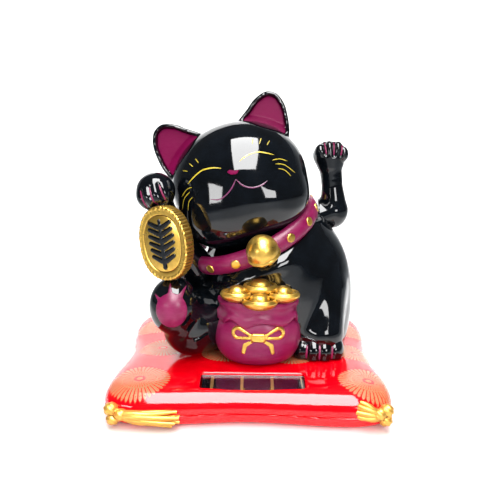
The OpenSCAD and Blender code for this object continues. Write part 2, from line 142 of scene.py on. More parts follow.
def outline_distance(p, x, y):
    """Signed distance from (x, y) rows to a closed polygon, negative inside."""
    p = np.asarray(p, float)
    best = np.full(len(x), 1e9)
    inside = np.zeros(len(x), bool)
    for (ax, ay), (bx, by) in zip(p, np.roll(p, -1, axis=0)):
        ex, ey = bx - ax, by - ay
        t = np.clip(((x - ax) * ex + (y - ay) * ey) / (ex * ex + ey * ey), 0, 1)
        best = np.minimum(best, np.hypot(x - ax - t * ex, y - ay - t * ey))
        crosses = (ay > y) != (by > y)
        with np.errstate(divide="ignore", invalid="ignore"):
            inside ^= crosses & (x < ex * (y - ay) / (ey if ey else 1e-12) + ax)
    return np.where(inside, -best, best)


# ---------------------------------------------------------------- fields to meshes

BLOCK = 8


def sample(field, low, cell, shape):
    """Field values on a grid, worked out only in blocks that may hold the surface."""
    values = np.empty(shape)
    blocks = [-(-(n - 1) // BLOCK) for n in shape]
    index = np.stack(np.meshgrid(*[np.arange(b) for b in blocks], indexing="ij"), -1).reshape(-1, 3)
    middles = field(low + (index * BLOCK + BLOCK / 2) * cell)
    near = np.abs(middles) < BLOCK * cell * 1.25 + 1.0
    for (i, j, k), m, close in zip(index * BLOCK, middles, near):
        if not close:
            values[i:i + BLOCK + 1, j:j + BLOCK + 1, k:k + BLOCK + 1] = m
    step = np.arange(BLOCK + 1)
    grid = np.stack(np.meshgrid(step, step, step, indexing="ij"), -1).reshape(-1, 3)
    chosen = index[near] * BLOCK
    for at in range(0, len(chosen), 400):
        part = chosen[at:at + 400]
        nodes = (part[:, None, :] + grid[None]).reshape(-1, 3)
        result = field(low + nodes * cell)
        ok = (nodes < np.array(shape)).all(1)
        values[tuple(nodes[ok].T)] = result[ok]
    return values


def slope_of(field, p, h=0.03):
    """Gradient of a field by central differences."""
    g = np.empty_like(p)
    for axis in range(3):
        step = np.zeros(3)
        step[axis] = h
        g[:, axis] = (field(p + step) - field(p - step)) / (2 * h)
    return g


def settle(field, p, rounds=3, reach=0.6):
    """Moves points onto the field's zero surface."""
    for _ in range(rounds):
        g = slope_of(field, p)
        d = field(p)
        move = -d[:, None] * g / np.maximum((g * g).sum(1), 0.05)[:, None]
        length = np.linalg.norm(move, axis=1, keepdims=True)
        p = p + move * np.minimum(1, reach / np.maximum(length, 1e-9))
    return p


def skin(field, low, high, cell):
    """Vertices and quads of a field's zero surface, by surface nets."""
    low, high = np.array(low, float), np.array(high, float)
    shape = tuple((np.ceil((high - low) / cell / BLOCK).astype(int) * BLOCK + 1).tolist())
    v = sample(field, low, cell, shape)
    inside = v < 0
    cells = tuple(n - 1 for n in shape)
    total = np.zeros(cells + (3,))
    count = np.zeros(cells)
    edges = []
    for axis in range(3):
        a = tuple(slice(0, -1) if i == axis else slice(None) for i in range(3))
        b = tuple(slice(1, None) if i == axis else slice(None) for i in range(3))
        at = np.argwhere(inside[a] != inside[b])
        va, vb = v[a][tuple(at.T)], v[b][tuple(at.T)]
        point = at.astype(float)
        point[:, axis] += va / (va - vb)
        u, w = [i for i in range(3) if i != axis]
        ok = (at[:, u] > 0) & (at[:, w] > 0) & (at[:, u] < shape[u] - 1) & (at[:, w] < shape[w] - 1)
        at, point, flag = at[ok], point[ok], inside[a][tuple(at[ok].T)]
        ring = []
        for du, dw in ((-1, -1), (0, -1), (0, 0), (-1, 0)):
            c = at.copy()
            c[:, u] += du
            c[:, w] += dw
            np.add.at(total, tuple(c.T), point)
            np.add.at(count, tuple(c.T), 1)
            ring.append(c)
        flip = flag if axis != 1 else ~flag
        edges.append((ring, flip))
    used = count > 0
    number = -np.ones(cells, int)
    number[used] = np.arange(used.sum())
    points = low + total[used] / count[used][:, None] * cell
    quads = []
    for ring, flip in edges:
        ids = np.stack([number[tuple(c.T)] for c in ring], 1)
        ids[~flip] = ids[~flip][:, ::-1]
        quads.append(ids)
    return settle(field, points, 3, cell), np.concatenate(quads)


def mesh_object(name, points, faces, place=WORLD, crease=None):
    """Blender object from points in millimetres and faces of any size."""
    mesh = bpy.data.meshes.new(name)
    pts = place.world(points) * MM
    mesh.vertices.add(len(pts))
    mesh.vertices.foreach_set("co", pts.astype(np.float32).ravel())
    sizes = np.array([len(f) for f in faces])
    mesh.loops.add(int(sizes.sum()))
    mesh.loops.foreach_set("vertex_index", np.concatenate([np.asarray(f) for f in faces]).astype(np.int32))
    mesh.polygons.add(len(sizes))
    mesh.polygons.foreach_set("loop_start", np.concatenate([[0], np.cumsum(sizes)[:-1]]).astype(np.int32))
    mesh.update(calc_edges=True)
    mesh.validate()
    mesh.polygons.foreach_set("use_smooth", [True] * len(mesh.polygons))
    if crease is not None:
        mesh.set_sharp_from_angle(angle=math.radians(crease))
    obj = bpy.data.objects.new(name, mesh)
    bpy.context.scene.collection.objects.link(obj)
    return obj


def field_object(name, field, low, high, cell, crease=None):
    """Blender object of a field's zero surface between two corners of a box."""
    return mesh_object(name, *skin(field, low, high, cell), crease=crease)


def finish_piece(obj, material, body, slot, *nodes):
    """Gives a piece its material and its body, and hides the CAD nodes it stands for; slot is not used."""
    obj.data.materials.clear()
    obj.data.materials.append(material)
    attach(obj, body)
    if nodes:
        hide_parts(*nodes)
    return obj


def field_piece(name, field, low, high, cell, material, body, slot, *nodes, crease=None):
    """Meshes a field and finishes the piece."""
    obj = field_object(name, field, low, high, cell, crease)
    return finish_piece(obj, material, body, slot, *nodes)


def tube(path, radii, sides):
    """Points and quads of a closed tube along a path."""
    path = np.asarray(path, float)
    way = np.gradient(path, axis=0)
    way /= np.linalg.norm(way, axis=1, keepdims=True)
    side = np.array((0.0, 0.0, 1.0))
    a = np.arange(sides) * 2 * math.pi / sides
    pts = []
    for c, t, r in zip(path, way, radii):
        side = side - t * (side @ t)
        side /= np.linalg.norm(side)
        other = np.cross(t, side)
        pts.append(c + r * (np.cos(a)[:, None] * other + np.sin(a)[:, None] * side))
    n = len(path)
    faces = [[i * sides + k, (i + 1) * sides + k, (i + 1) * sides + (k + 1) % sides, i * sides + (k + 1) % sides]
             for i in range(n - 1) for k in range(sides)]
    faces.append(list(range(sides)))
    faces.append([(n - 1) * sides + k for k in range(sides)][::-1])
    return np.concatenate(pts), faces


def merge(parts):
    """One list of points and faces from several."""
    points, faces, at = [], [], 0
    for p, f in parts:
        points.append(np.asarray(p, float))
        faces.extend([[int(i) + at for i in face] for face in f])
        at += len(p)
    return np.concatenate(points), faces


def merged_object(name, parts):
    """One object from several closed meshes."""
    return outward(mesh_object(name, *merge(parts), crease=60))


def ribbon(field, path, width, forward, lift=0.05, sink=0.25):
    """Raised paint stroke on a field: path points are pushed along forward onto its surface."""
    path = np.asarray(path, float)
    aim = np.array(forward, float)
    q = drop_on(field, path, aim)
    normal = slope_of(field, q)
    normal /= np.linalg.norm(normal, axis=1, keepdims=True)
    way = np.gradient(q, axis=0)
    way /= np.linalg.norm(way, axis=1, keepdims=True)
    across = np.cross(normal, way)
    n = len(q)
    t = np.linspace(0, 1, n)
    w = width / 2 * np.minimum(1, 0.25 + 4 * np.minimum(t, 1 - t))
    profile = [(-1, -sink), (-1, lift * 0.2), (-0.6, lift), (0.6, lift), (1, lift * 0.2), (1, -sink)]
    pts = []
    for u, h in profile:
        edge = settle(field, q + across * (u * w)[:, None], 2)
        pts.append(edge + normal * h)
    k = len(profile)
    pts = np.stack(pts, 1).reshape(-1, 3)
    faces = [[i * k + a, i * k + (a + 1) % k, (i + 1) * k + (a + 1) % k, (i + 1) * k + a]
             for i in range(n - 1) for a in range(k)]
    faces.append(list(range(k))[::-1])
    faces.append([(n - 1) * k + a for a in range(k)])
    return pts, faces


def drop_on(field, points, aim, reach=60):
    """Pushes points along aim until they meet the field's surface."""
    q = points - aim * reach
    for _ in range(90):
        q = q + aim * np.clip(field(q), -2, 4)[:, None] * 0.8
    return q


def front_curve(places, steps):
    """Curve through (x, z) places in a plane that faces the front."""
    return spline([(x, 0, z) for x, z in places], steps)


# ---------------------------------------------------------------- shader maths

class Value:
    """A socket that takes part in Python arithmetic."""

    def __init__(self, paint, socket):
        self.paint, self.socket = paint, socket

    def _math(self, operation, *others):
        return self.paint.node("ShaderNodeMath", {"operation": operation}, *((self,) + others))

    def __add__(self, o): return self._math("ADD", o)
    def __radd__(self, o): return self._math("ADD", o)
    def __sub__(self, o): return self._math("SUBTRACT", o)
    def __rsub__(self, o): return self.paint.node("ShaderNodeMath", {"operation": "SUBTRACT"}, o, self)
    def __mul__(self, o): return self._math("MULTIPLY", o)
    def __rmul__(self, o): return self._math("MULTIPLY", o)
    def __truediv__(self, o): return self._math("DIVIDE", o)
    def __rtruediv__(self, o): return self.paint.node("ShaderNodeMath", {"operation": "DIVIDE"}, o, self)

    def fraction(self): return self._math("FRACT")
    def size(self): return self._math("ABSOLUTE")
    def root(self): return self._math("SQRT")
    def most(self, o): return self._math("MAXIMUM", o)
    def angle(self, o): return self._math("ARCTAN2", o)

    def between(self, low, high):
        """0 below low, 1 above high, smooth in between; low may be above high."""
        settings = {"interpolation_type": "SMOOTHSTEP"}
        return self.paint.node("ShaderNodeMapRange", settings, self, low, high)

    def part(self, name):
        """x, y or z of a vector."""
        return self.paint.node("ShaderNodeSeparateXYZ", {}, self, output=name)


class Paint:
    """A material with one Principled shader, and a maker of any other node."""

    def __init__(self, name, **sockets):
        self.material = bpy.data.materials.new(name)
        self.material.use_nodes = True
        self.tree = self.material.node_tree
        self.shader = self.tree.nodes["Principled BSDF"]
        for key, value in sockets.items():
            self.set(key.replace("_", " ").title().replace("Ior", "IOR"), value)
        self.point = self.node("ShaderNodeTexCoord", {}, output="Object")

    def set(self, socket, value):
        self._feed(self.shader.inputs[socket], value)

    def _feed(self, socket, value):
        if isinstance(value, Value):
            self.tree.links.new(value.socket, socket)
        elif socket.type == "RGBA":
            socket.default_value = (*value, 1)
        else:
            socket.default_value = value

    def node(self, kind, settings, *inputs, output=0, **named):
        """A node of any kind: its settings first, then the values or links of its sockets."""
        n = self.tree.nodes.new(kind)
        for key, value in settings.items():
            setattr(n, key, value)
        for socket, value in zip(n.inputs, inputs):
            if value is not None:
                self._feed(socket, value)
        for key, value in named.items():
            self._feed(n.inputs[key.replace("_", " ").title()], value)
        return Value(self, n.outputs[output])

    def mix(self, factor, a, b):
        """Colour a where factor is 0 and b where it is 1."""
        n = self.tree.nodes.new("ShaderNodeMix")
        n.data_type = "RGBA"
        for i, value in ((0, factor), (6, a), (7, b)):
            self._feed(n.inputs[i], value)
        return Value(self, n.outputs[2])

    def noise(self, size_mm, detail=2.0, rough=0.5, stretch=(1, 1, 1)):
        """Noise whose features are about size_mm across."""
        scaled = self.node("ShaderNodeVectorMath", {"operation": "MULTIPLY"}, self.point, stretch)
        return self.node("ShaderNodeTexNoise", {}, scaled, scale=1 / (size_mm * MM), detail=detail,
                         roughness=rough)

    def bump(self, height, depth_mm, strength=1.0):
        """Relief of depth_mm, from a height that runs from 0 to 1."""
        self.set("Normal", self.node("ShaderNodeBump", {}, strength=strength, distance=depth_mm * MM,
                                     height=height))


def srgb(r, g, b):
    """Linear colour from 0 to 255 display values."""
    def one(c):
        c /= 255
        return c / 12.92 if c <= 0.04045 else ((c + 0.055) / 1.055) ** 2.4
    return one(r), one(g), one(b)


# ---------------------------------------------------------------- more mesh makers

def grid_solid(rows):
    """Closed mesh from rows of points: each row is a ring, the first and last are capped."""
    rows = np.asarray(rows, float)
    n, m = rows.shape[:2]
    faces = [[i * m + k, i * m + (k + 1) % m, (i + 1) * m + (k + 1) % m, (i + 1) * m + k]
             for i in range(n - 1) for k in range(m)]
    faces.append(list(range(m))[::-1])
    faces.append([(n - 1) * m + k for k in range(m)])
    return rows.reshape(-1, 3), faces


def hoop(rows):
    """Closed mesh from rows of points that join up both ways, like a ring doughnut."""
    rows = np.asarray(rows, float)
    n, m = rows.shape[:2]
    faces = [[i * m + k, i * m + (k + 1) % m, (i + 1) % n * m + (k + 1) % m, (i + 1) % n * m + k]
             for i in range(n) for k in range(m)]
    return rows.reshape(-1, 3), faces


def outward(obj):
    """Turns every face of a closed mesh outwards."""
    bm = bmesh.new()
    bm.from_mesh(obj.data)
    bmesh.ops.recalc_face_normals(bm, faces=bm.faces)
    bm.to_mesh(obj.data)
    bm.free()
    return obj


def halves(obj, names, at, way, gap):
    """Cuts a closed mesh across a plane into two closed meshes with a hairline between them."""
    way = np.array(way, float)
    pieces = []
    for name, sign in zip(names, (-1, 1)):
        bm = bmesh.new()
        bm.from_mesh(obj.data)
        spot = (np.array(at, float) + way * sign * gap / 2) * MM
        cut_now = bmesh.ops.bisect_plane(bm, geom=bm.verts[:] + bm.edges[:] + bm.faces[:], dist=1e-7,
                                         plane_co=spot, plane_no=way, clear_inner=sign > 0, clear_outer=sign < 0)
        rim = [e for e in cut_now["geom_cut"] if isinstance(e, bmesh.types.BMEdge)]
        bmesh.ops.triangle_fill(bm, use_beauty=True, edges=rim)
        bmesh.ops.recalc_face_normals(bm, faces=bm.faces)
        mesh = bpy.data.meshes.new(name)
        bm.to_mesh(mesh)
        bm.free()
        mesh.polygons.foreach_set("use_smooth", [True] * len(mesh.polygons))
        mesh.set_sharp_from_angle(angle=math.radians(50))
        piece = bpy.data.objects.new(name, mesh)
        bpy.context.scene.collection.objects.link(piece)
        pieces.append(piece)
    bpy.data.objects.remove(obj)
    return pieces


class Loft:
    """Field of a solid with sloping elliptical levels, each a centre and its half width and half depth."""

    def __init__(self, levels):
        rows = spline([np.concatenate(row) for row in levels], 4)
        self.c, self.u, self.v = rows[:, :3], rows[:, 3:6], rows[:, 6:9]

    def heights(self, p, c, u, v):
        """How far each level's plane passes above the points."""
        return (c[:, 2] + (p[:, :1] - c[:, 0]) * (u[:, 2] / u[:, 0])
                + (p[:, 1:2] - c[:, 1]) * (v[:, 2] / v[:, 1]) - p[:, 2:3])

    def __call__(self, p):
        h = self.heights(p, self.c, self.u, self.v)
        last = len(self.c) - 1
        i = np.clip((h < 0).sum(1) - 1, 0, last - 1)
        row = np.arange(len(p))
        h0, h1 = h[row, i], h[row, i + 1]
        t = np.clip(-h0 / np.where(np.abs(h1 - h0) < 1e-6, 1e-6, h1 - h0), 0, 1)[:, None]
        c = self.c[i] + t * (self.c[i + 1] - self.c[i])
        u = self.u[i] + t * (self.u[i + 1] - self.u[i])
        v = self.v[i] + t * (self.v[i + 1] - self.v[i])
        dx, dy = p[:, 0] - c[:, 0], p[:, 1] - c[:, 1]
        k = np.maximum(np.hypot(dx / u[:, 0], dy / v[:, 1]), 1e-6)
        side = np.where(k > 0.05, np.hypot(dx, dy) * (1 - 1 / k), -np.abs(v[:, 1]))
        return keep(keep(side * 0.85, h[:, 0] * 0.9, 1.2), -h[:, last] * 0.9)


def level(ax, az, bx, bz, yc, depth, fall):
    """A level of a Loft: its two side points, its middle in y, its depth and the fall of its front."""
    return ((ax + bx) / 2, yc, (az + bz) / 2), ((bx - ax) / 2, 0, (bz - az) / 2), (0, depth, fall)


def neck_level(radius, height):
    """A round level of a Loft that leans with the collar, height above it."""
    u, v = COLLAR.axes @ (radius, 0, 0), COLLAR.axes @ (0, radius, 0)
    return COLLAR.world((0, 0, height)), u, v


# ---------------------------------------------------------------- the cat's own shapes

HEAD_RADII = (28.9, 25, 25.9)
HEAD_SHIFT = -0.9
EAR_MIDDLE = -2.3
EAR_OUTLINE = [(5, 20), (7.6, 24.5), (13.1, 28.6), (17.4, 31.9), (21.7, 33.6), (24.8, 33.4), (27.7, 31.1),
               (29.3, 26.2), (29.1, 20.4), (27.6, 13.5), (24, 9), (14, 12)]
EAR_RIM = 1.9
BODY_LEVELS = [level(-23.5, 15.05, 41.3, 15.05, 7.5, 24.5, 0), level(-28, 16.6, 44, 16.6, 7.7, 27.3, 0),
               level(-31.5, 22, 45.4, 25, 7, 29, 0), level(-32.6, 31, 45.8, 34, 6.5, 29.5, 1),
               level(-31.5, 39, 44.8, 47, 5.3, 28.8, 2), level(-28.5, 46.5, 40.8, 59.5, 3.8, 27.2, 4),
               neck_level(29.5, -9), neck_level(26.6, -4.9), neck_level(24.2, -3.6), neck_level(24.2, -0.9)]


def head_skull(p):
    """Wide head, rounder at the crown than at the cheeks and chin."""
    x, y, z = HEAD.local(p).T
    below = np.clip(-z / 15, 0, 1)
    below = below * below * (3 - 2 * below)
    power = 2.05 + 0.55 * below
    q = np.abs(np.stack((x - HEAD_SHIFT, y, z / (1 + 0.05 * below)), 1)) / HEAD_RADII
    return (((q ** power[:, None]).sum(1) + 1e-12) ** (1 / power) - 1) * 26


EAR_CURVE = spline(EAR_OUTLINE + EAR_OUTLINE[:1], 10)[:-1]
EAR_ROUND = 1.2


def ear_frame(p):
    """Distance to the ears' outline, y, half thickness and depth of their hollows."""
    x, y, z = HEAD.local(p).T
    flat = outline_distance(EAR_CURVE, np.abs(x - EAR_MIDDLE), z)
    brow = (np.hypot((x - HEAD_SHIFT) / HEAD_RADII[0], z / HEAD_RADII[2]) - 1) * 27
    return flat, y, np.interp(z, (10, 33), (4.0, 2.9)), np.clip(0.85 * (brow + 0.6), -1, 3.0)


def head_outside(p):
    """Skull with both ears, hollowed in front."""
    flat, y, thick, depth = ear_frame(p)
    a, b = flat + EAR_ROUND, np.abs(y) - thick + EAR_ROUND
    ears = np.minimum(np.maximum(a, b), 0) + np.hypot(np.maximum(a, 0), np.maximum(b, 0)) - EAR_ROUND
    hollow = keep(flat + EAR_RIM, y + thick - depth, 0.8)
    return join(head_skull(p), cut(ears, hollow - 0.3, 0.9), 0.8)


def ear_lining(p):
    """Enamelled floor of the ears' hollows, turning up towards the brow."""
    flat, y, thick, depth = ear_frame(p)
    floor = y + thick - depth
    slab = keep(floor - 0.9, -(floor + 0.3))
    return keep(keep(slab, flat + EAR_RIM - 0.1), -(head_skull(p) + 0.3))


BODY = Loft(BODY_LEVELS)
STANDING_Z = 15.1


def body_shape(p):
    """Trunk with the haunch of the front leg and the shoulder's socket."""
    trunk = BODY(p)
    haunch = bone(p, (32.6, -7, 42), (30.8, -13.4, 24.5), 8.6, 9.6)
    shape = join(trunk, keep(haunch, 15.05 - p[:, 2], 0.8), 3.5)
    q = p - SHOULDER
    socket = keep(np.hypot(q[:, 1], q[:, 2]) - 7.6, -(p[:, 0] - 29.9))
    return cut(shape, socket, 0.5)


def floor_cut(d, p):
    """Keeps what is above the cushion's top."""
    return keep(d, STANDING_Z - p[:, 2], 1.0)


def sole_leg(p):
    """Seated leg whose foot shows its sole."""
    thigh = bone(p, (-29.6, -22, 38), (-23, -14, 31), 9.3, 12)
    thigh = join(thigh, bone(p, (-24.5, -17, 27.5), (-12, -8, 29), 11.6, 12), 4)
    foot = egg(p, (-30.6, -24.0, 38.8), (10.2, 9.4, 12.1))
    return floor_cut(join(thigh, foot, 2.5), p)


PAD_OUTLINE_X, PAD_OUTLINE_Z, PAD_MIDDLE = 6.3, 7.1, (-30.9, 39.0)
PAD_TOES = ((59, 11.2), (94, 10.8), (139, 9.4))  # degrees and reach


def sole_pad(p):
    """The painted pad and its three pointed toe marks, standing a little proud of the sole."""
    x, z = p[:, 0] - PAD_MIDDLE[0], p[:, 2] - PAD_MIDDLE[1]
    oval = np.hypot(x / PAD_OUTLINE_X, z / PAD_OUTLINE_Z)
    flat = (oval - 1) * 6.8
    for degrees, reach in PAD_TOES:
        t = math.radians(degrees)
        tip = np.array((math.cos(t) * reach, math.sin(t) * reach))
        root = tip * 0.6
        q = np.stack((x, z), 1) - root
        line = tip - root
        h = np.clip(q @ line / (line @ line), 0, 1)
        spike = np.linalg.norm(q - h[:, None] * line, axis=1) - 1.05 * (1 - h) ** 0.8
        flat = join(flat, spike, 0.7)
    rise = 0.12 + 0.65 * np.clip(1 - oval ** 2, 0, 1)
    sole = sole_leg(p)
    return keep(keep(keep(sole - rise, flat, 0.25), -(sole + 0.8)), p[:, 1] + 22)


def carve(field, lines, radius, soft):
    """Field with soft furrows along lines of (x, z) places pushed onto its front."""
    segments = []
    for line in lines:
        q = drop_on(field, front_curve(line, 3), np.array((0.0, 1.0, 0.0)))
        segments += list(zip(q[:-1], q[1:]))

    def carved(p):
        furrow = np.full(len(p), 1e9)
        for a, b in segments:
            furrow = np.minimum(furrow, bone(p, a, b, radius, radius))
        return cut(field(p), furrow, soft)
    return carved


def right_paw_blank(p):
    """Low mitten of the front paw."""
    d = egg(p, (29.2, -12.4, 18.6), (10.6, 11.6, 7.6))
    for x, y in ((21.9, -16.6), (26.8, -18.4), (32, -18.4), (36.7, -16.6)):
        d = join(d, egg(p, (x, y, 18.4), (3.5, 5.6, 5.6)), 2.0)
    return keep(floor_cut(d, p), p[:, 1] + 9)


RIGHT_PAW_LINES = [[(24.3, 21.8), (24.1, 18.6), (24, 15.6)], [(29.5, 22.4), (29.4, 19), (29.4, 15.6)],
                   [(34.8, 21.6), (34.7, 18.4), (34.6, 15.6)]]
right_paw = carve(right_paw_blank, RIGHT_PAW_LINES, 0.35, 1.1)


def holding_arm_blank(p):
    """Raised arm whose paw closes over the coin's top edge."""
    elbow = (-30, -10, 61)
    arm = join(bone(p, (-36, -13.5, 75), elbow, 6.0, 7.4), bone(p, elbow, (-24, -5, 51), 7.4, 8.4), 2)
    paw = join(egg(p, (-38.4, -17.2, 84.9), (7.9, 8.0, 7.5)), egg(p, (-38.6, -20, 82.4), (6.9, 6.0, 5.2)), 2)
    coin = COIN.local(p)
    room = keep(np.hypot(coin[:, 0] / 12.2, coin[:, 1] / 16) * 13 - 13, np.abs(coin[:, 2]) - 3.15)
    return cut(join(arm, paw, 4), room, 0.3)


HOLDING_PAW_LINES = [[(-43.8, 85.6), (-42.6, 81.9), (-40.9, 78.6)], [(-40.0, 87.2), (-38.9, 83.2), (-37.1, 79.7)],
                     [(-36.3, 88.2), (-35.2, 85.4), (-33.6, 81.8)]]
holding_arm = carve(holding_arm_blank, HOLDING_PAW_LINES, 0.45, 1.6)
WAVE_TOES = [(30.2, 99.9), (34.1, 101.3), (37.8, 101.2), (40.3, 99.0)]


def waving_arm_blank(p):
    """Bent arm from its round stub in the shoulder up to the paw."""
    stub = bone(p, (28, 12, 71), (36.4, 12, 72.3), 7.0, 6.6)
    stub = keep(stub, 30.1 - p[:, 0])
    fore = bone(p, (37.2, 12, 74.6), (35.9, 12, 88), 6.15, 4.2)
    wrist = bone(p, (35.9, 12, 88), (35.2, 12, 93), 4.3, 5.3)
    paw = egg(p, (34.6, 12.2, 98.2), (7.3, 6.2, 6.3))
    shape = join(join(join(stub, fore, 2.5), wrist, 2), paw, 2.5)
    for x, z in WAVE_TOES:
        shape = join(shape, egg(p, (x, 9.4, z), (2.3, 3.0, 3.3)), 1.1)
    return keep(shape, p[:, 2] - 105)


WAVING_PAW_LINES = [[(32.0, 103.8), (32.3, 101.6), (32.7, 98.8)], [(36.0, 104), (36.0, 101.6), (35.9, 98.6)],
                    [(39.5, 102.8), (39.4, 100.8), (39.0, 98.4)]]
waving_arm = carve(waving_arm_blank, WAVING_PAW_LINES, 0.4, 1.2)
CUSHION_HALF, CUSHION_DIP, SPLIT_Z, TOP_Z, CROWN_REACH, CUSHION_POWER = 57, 3.5, 5, 15, 20, 2.6
WALL = 1.8
SCREW_WELLS = [(x, y) for x in (-36, 36) for y in (-31, 36)]


def cushion_edge(a):
    """Outline radius of the cushion in the direction a, in radians."""
    square = (np.abs(np.cos(a)) ** 8 + np.abs(np.sin(a)) ** 8) ** (1 / 8)
    return CUSHION_HALF / square * (1 - CUSHION_DIP / CUSHION_HALF * np.cos(2 * a) ** 2)


def edge_inset(p):
    """How far points are inside the cushion's outline."""
    return cushion_edge(np.arctan2(p[:, 1], p[:, 0])) - np.hypot(p[:, 0], p[:, 1])


def crown(p, wall=0.0):
    """Domed cushion top; wall is how far inside the outer face."""
    side = np.maximum(0, 1 - (edge_inset(p) - wall) / CROWN_REACH)
    rise = np.maximum(0, (p[:, 2] - SPLIT_Z) / (TOP_Z - SPLIT_Z - wall))
    return ((side ** CUSHION_POWER + rise ** CUSHION_POWER + 1e-12) ** (1 / CUSHION_POWER) - 1) * 11


def box_field(q, half, r):
    """Box with edges of radius r."""
    d = np.abs(q) - np.array(half, float) + r
    return np.minimum(d.max(1), 0) + np.linalg.norm(np.maximum(d, 0), axis=1) - r


def cushion_lid(p):
    """Upper moulding with the window's pocket."""
    shell = cut(keep(crown(p), SPLIT_Z + 0.08 - p[:, 2], 0.5), crown(p, WALL))
    pocket = box_field(WINDOW.local(p), (20.25, 6, 8), 0.8)
    return cut(shell, pocket, 0.9)


def cushion_tray(p):
    """Shallow lower moulding with four screw wells."""
    inset = edge_inset(p)

    def bowl(wall, floor):
        side = np.maximum(0, 1 - (inset - wall) / 5.5)
        drop = np.maximum(0, (SPLIT_Z - p[:, 2]) / (SPLIT_Z - floor))
        return (np.sqrt(side ** 2 + drop ** 2 + 1e-12) - 1) * 5
    shell = cut(keep(bowl(0, 0), p[:, 2] - SPLIT_Z + 0.08, 0.4), bowl(WALL, 2))
    for x, y in SCREW_WELLS:
        well = keep(np.hypot(p[:, 0] - x, p[:, 1] - y) - 3.1, p[:, 2] - 1.3)
        shell = cut(shell, well, 0.2)
    return shell


# ---------------------------------------------------------------- finishes

def moulded(paint, colour, shade, rough, peel_mm, smear, grain_mm=7.0):
    """Moulded or painted skin: slight colour drift, handling smears in the gloss and orange peel."""
    drift = paint.noise(grain_mm, 3).between(0.3, 0.7)
    paint.set("Base Color", paint.mix(drift, colour, shade))
    paint.set("Roughness", paint.noise(4.5, 4, 0.6).between(0.35, 0.8) * smear + rough)
    paint.bump(paint.noise(1.6, 2), peel_mm, 0.5)


def black_gloss(finish):
    """Deep black lacquer of the cat."""
    paint = Paint("black gloss lacquer", ior=1.46, coat_weight=0.15, coat_roughness=0.02)
    moulded(paint, finish.black, tuple(c * 2.2 for c in finish.black), 0.045, 0.006, 0.05)
    return paint.material


def plum_enamel(finish, name, rough, brushed, gloss, ior):
    """Hand-brushed enamel, a little lighter where the brush left less."""
    paint = Paint(name, ior=ior, coat_weight=gloss, coat_roughness=0.12)
    strokes = paint.noise(2.2, 5, 0.65, (1, 1, 3.2))
    blotch = paint.noise(5, 3)
    wear = (strokes * 0.55 + blotch * 0.45).between(0.36, 0.66)
    paint.set("Base Color", paint.mix(wear * brushed, finish.plum, finish.plum_light))
    paint.set("Roughness", wear * 0.16 + rough)
    paint.bump(strokes, 0.06, 0.6)
    return paint.material


def gold_paint(finish, name, colour, shade, rough, hollow_shade, grain_mm=0.5, metal=0.92):
    """Metallic gold with painted shade darkening its hollows, and the grain of the sprayed flakes."""
    paint = Paint(name, ior=1.5, coat_weight=0.2, coat_roughness=0.1)
    paint.set("Metallic", metal)
    patch = paint.noise(3.2, 4, 0.6).between(0.3, 0.72)
    # Painted shade: where the surface curves inwards, the colour turns towards the dark hollow gold.
    hollow = paint.node("ShaderNodeNewGeometry", {}, output="Pointiness").between(0.5, 0.44)
    tint = paint.mix(patch, colour, shade)
    paint.set("Base Color", paint.mix(hollow * hollow_shade, tint, finish.gold_painted_shade))
    paint.set("Roughness", patch * 0.12 + hollow * 0.15 + rough)
    paint.bump(paint.noise(grain_mm, 3, 0.6), 0.03, 0.5)
    return paint.material


def line_paint(name, colour, rough):
    """Thin brushed line, its colour a little uneven along the stroke."""
    paint = Paint(name, ior=1.5, coat_weight=0.3)
    uneven = paint.noise(1.1, 3, 0.6).between(0.3, 0.75)
    paint.set("Base Color", paint.mix(uneven * 0.6, colour, tuple(c * 0.5 for c in colour)))
    paint.set("Roughness", uneven * 0.2 + rough)
    paint.bump(paint.noise(0.5, 2), 0.03, 0.4)
    return paint.material


PRINT_PLACES = [(-42.2, -43, 12), (46.8, -42, 12), (-37.5, -7.5, 10.5), (46.5, -9, 10.5), (-10, -13.5, 10.5),
                (18, -16, 10), (-43, 24, 10.5), (44, 23, 10.5), (-22, 46, 9.5), (24, 45, 9.5)]
PRINT_PETALS = 40


def cushion_red(finish):
    """Glossy red with chrysanthemums printed in matt gold ink."""
    paint = Paint("glossy red with printed chrysanthemums", ior=1.42, coat_weight=0.15, coat_roughness=0.03)
    x, y = paint.point.part("X") * 1000, paint.point.part("Y") * 1000
    ink = None
    for cx, cy, reach in PRINT_PLACES:
        dx, dy = x - cx, y - cy
        r = (dx * dx + dy * dy).root()
        turns = dy.angle(dx) * (PRINT_PETALS / (2 * math.pi))
        inner = turns.fraction() - 0.5
        outer = (turns + 0.5).fraction() - 0.5
        tip = 0.97 - outer * outer * 0.5
        far = outer.size().between(0.44, 0.3) * (r / reach).between(tip + 0.05, tip)
        far = far * r.between(reach * 0.52, reach * 0.56)
        ring = reach * 0.58 - inner * inner * reach * 0.5
        near = inner.size().between(0.44, 0.3) * (r - ring).between(0.25, -0.1)
        near = near * r.between(reach * 0.17, reach * 0.21)
        flower = far.most(near).most(r.between(1.35, 1.0))
        ink = flower if ink is None else ink.most(flower)
    worn = paint.noise(0.9, 3, 0.7).between(0.22, 0.5)
    ink = ink * worn * 0.88
    drift = paint.noise(9, 2).between(0.3, 0.7)
    red = paint.mix(drift, finish.red, finish.red_deep)
    paint.set("Base Color", paint.mix(ink, red, finish.print_gold))
    paint.set("Roughness", ink * 0.3 + paint.noise(5, 4, 0.6).between(0.4, 0.8) * 0.05 + 0.07)
    paint.bump(ink * 0.6 + paint.noise(1.8, 2) * 0.2, 0.02, 0.6)
    return paint.material


def plain_plastic(name, colour, shade, rough, grain_mm=1.4):
    """Finish of a part that works out of sight."""
    paint = Paint(name)
    moulded(paint, colour, shade, rough, 0.015, 0.1, grain_mm)
    return paint.material


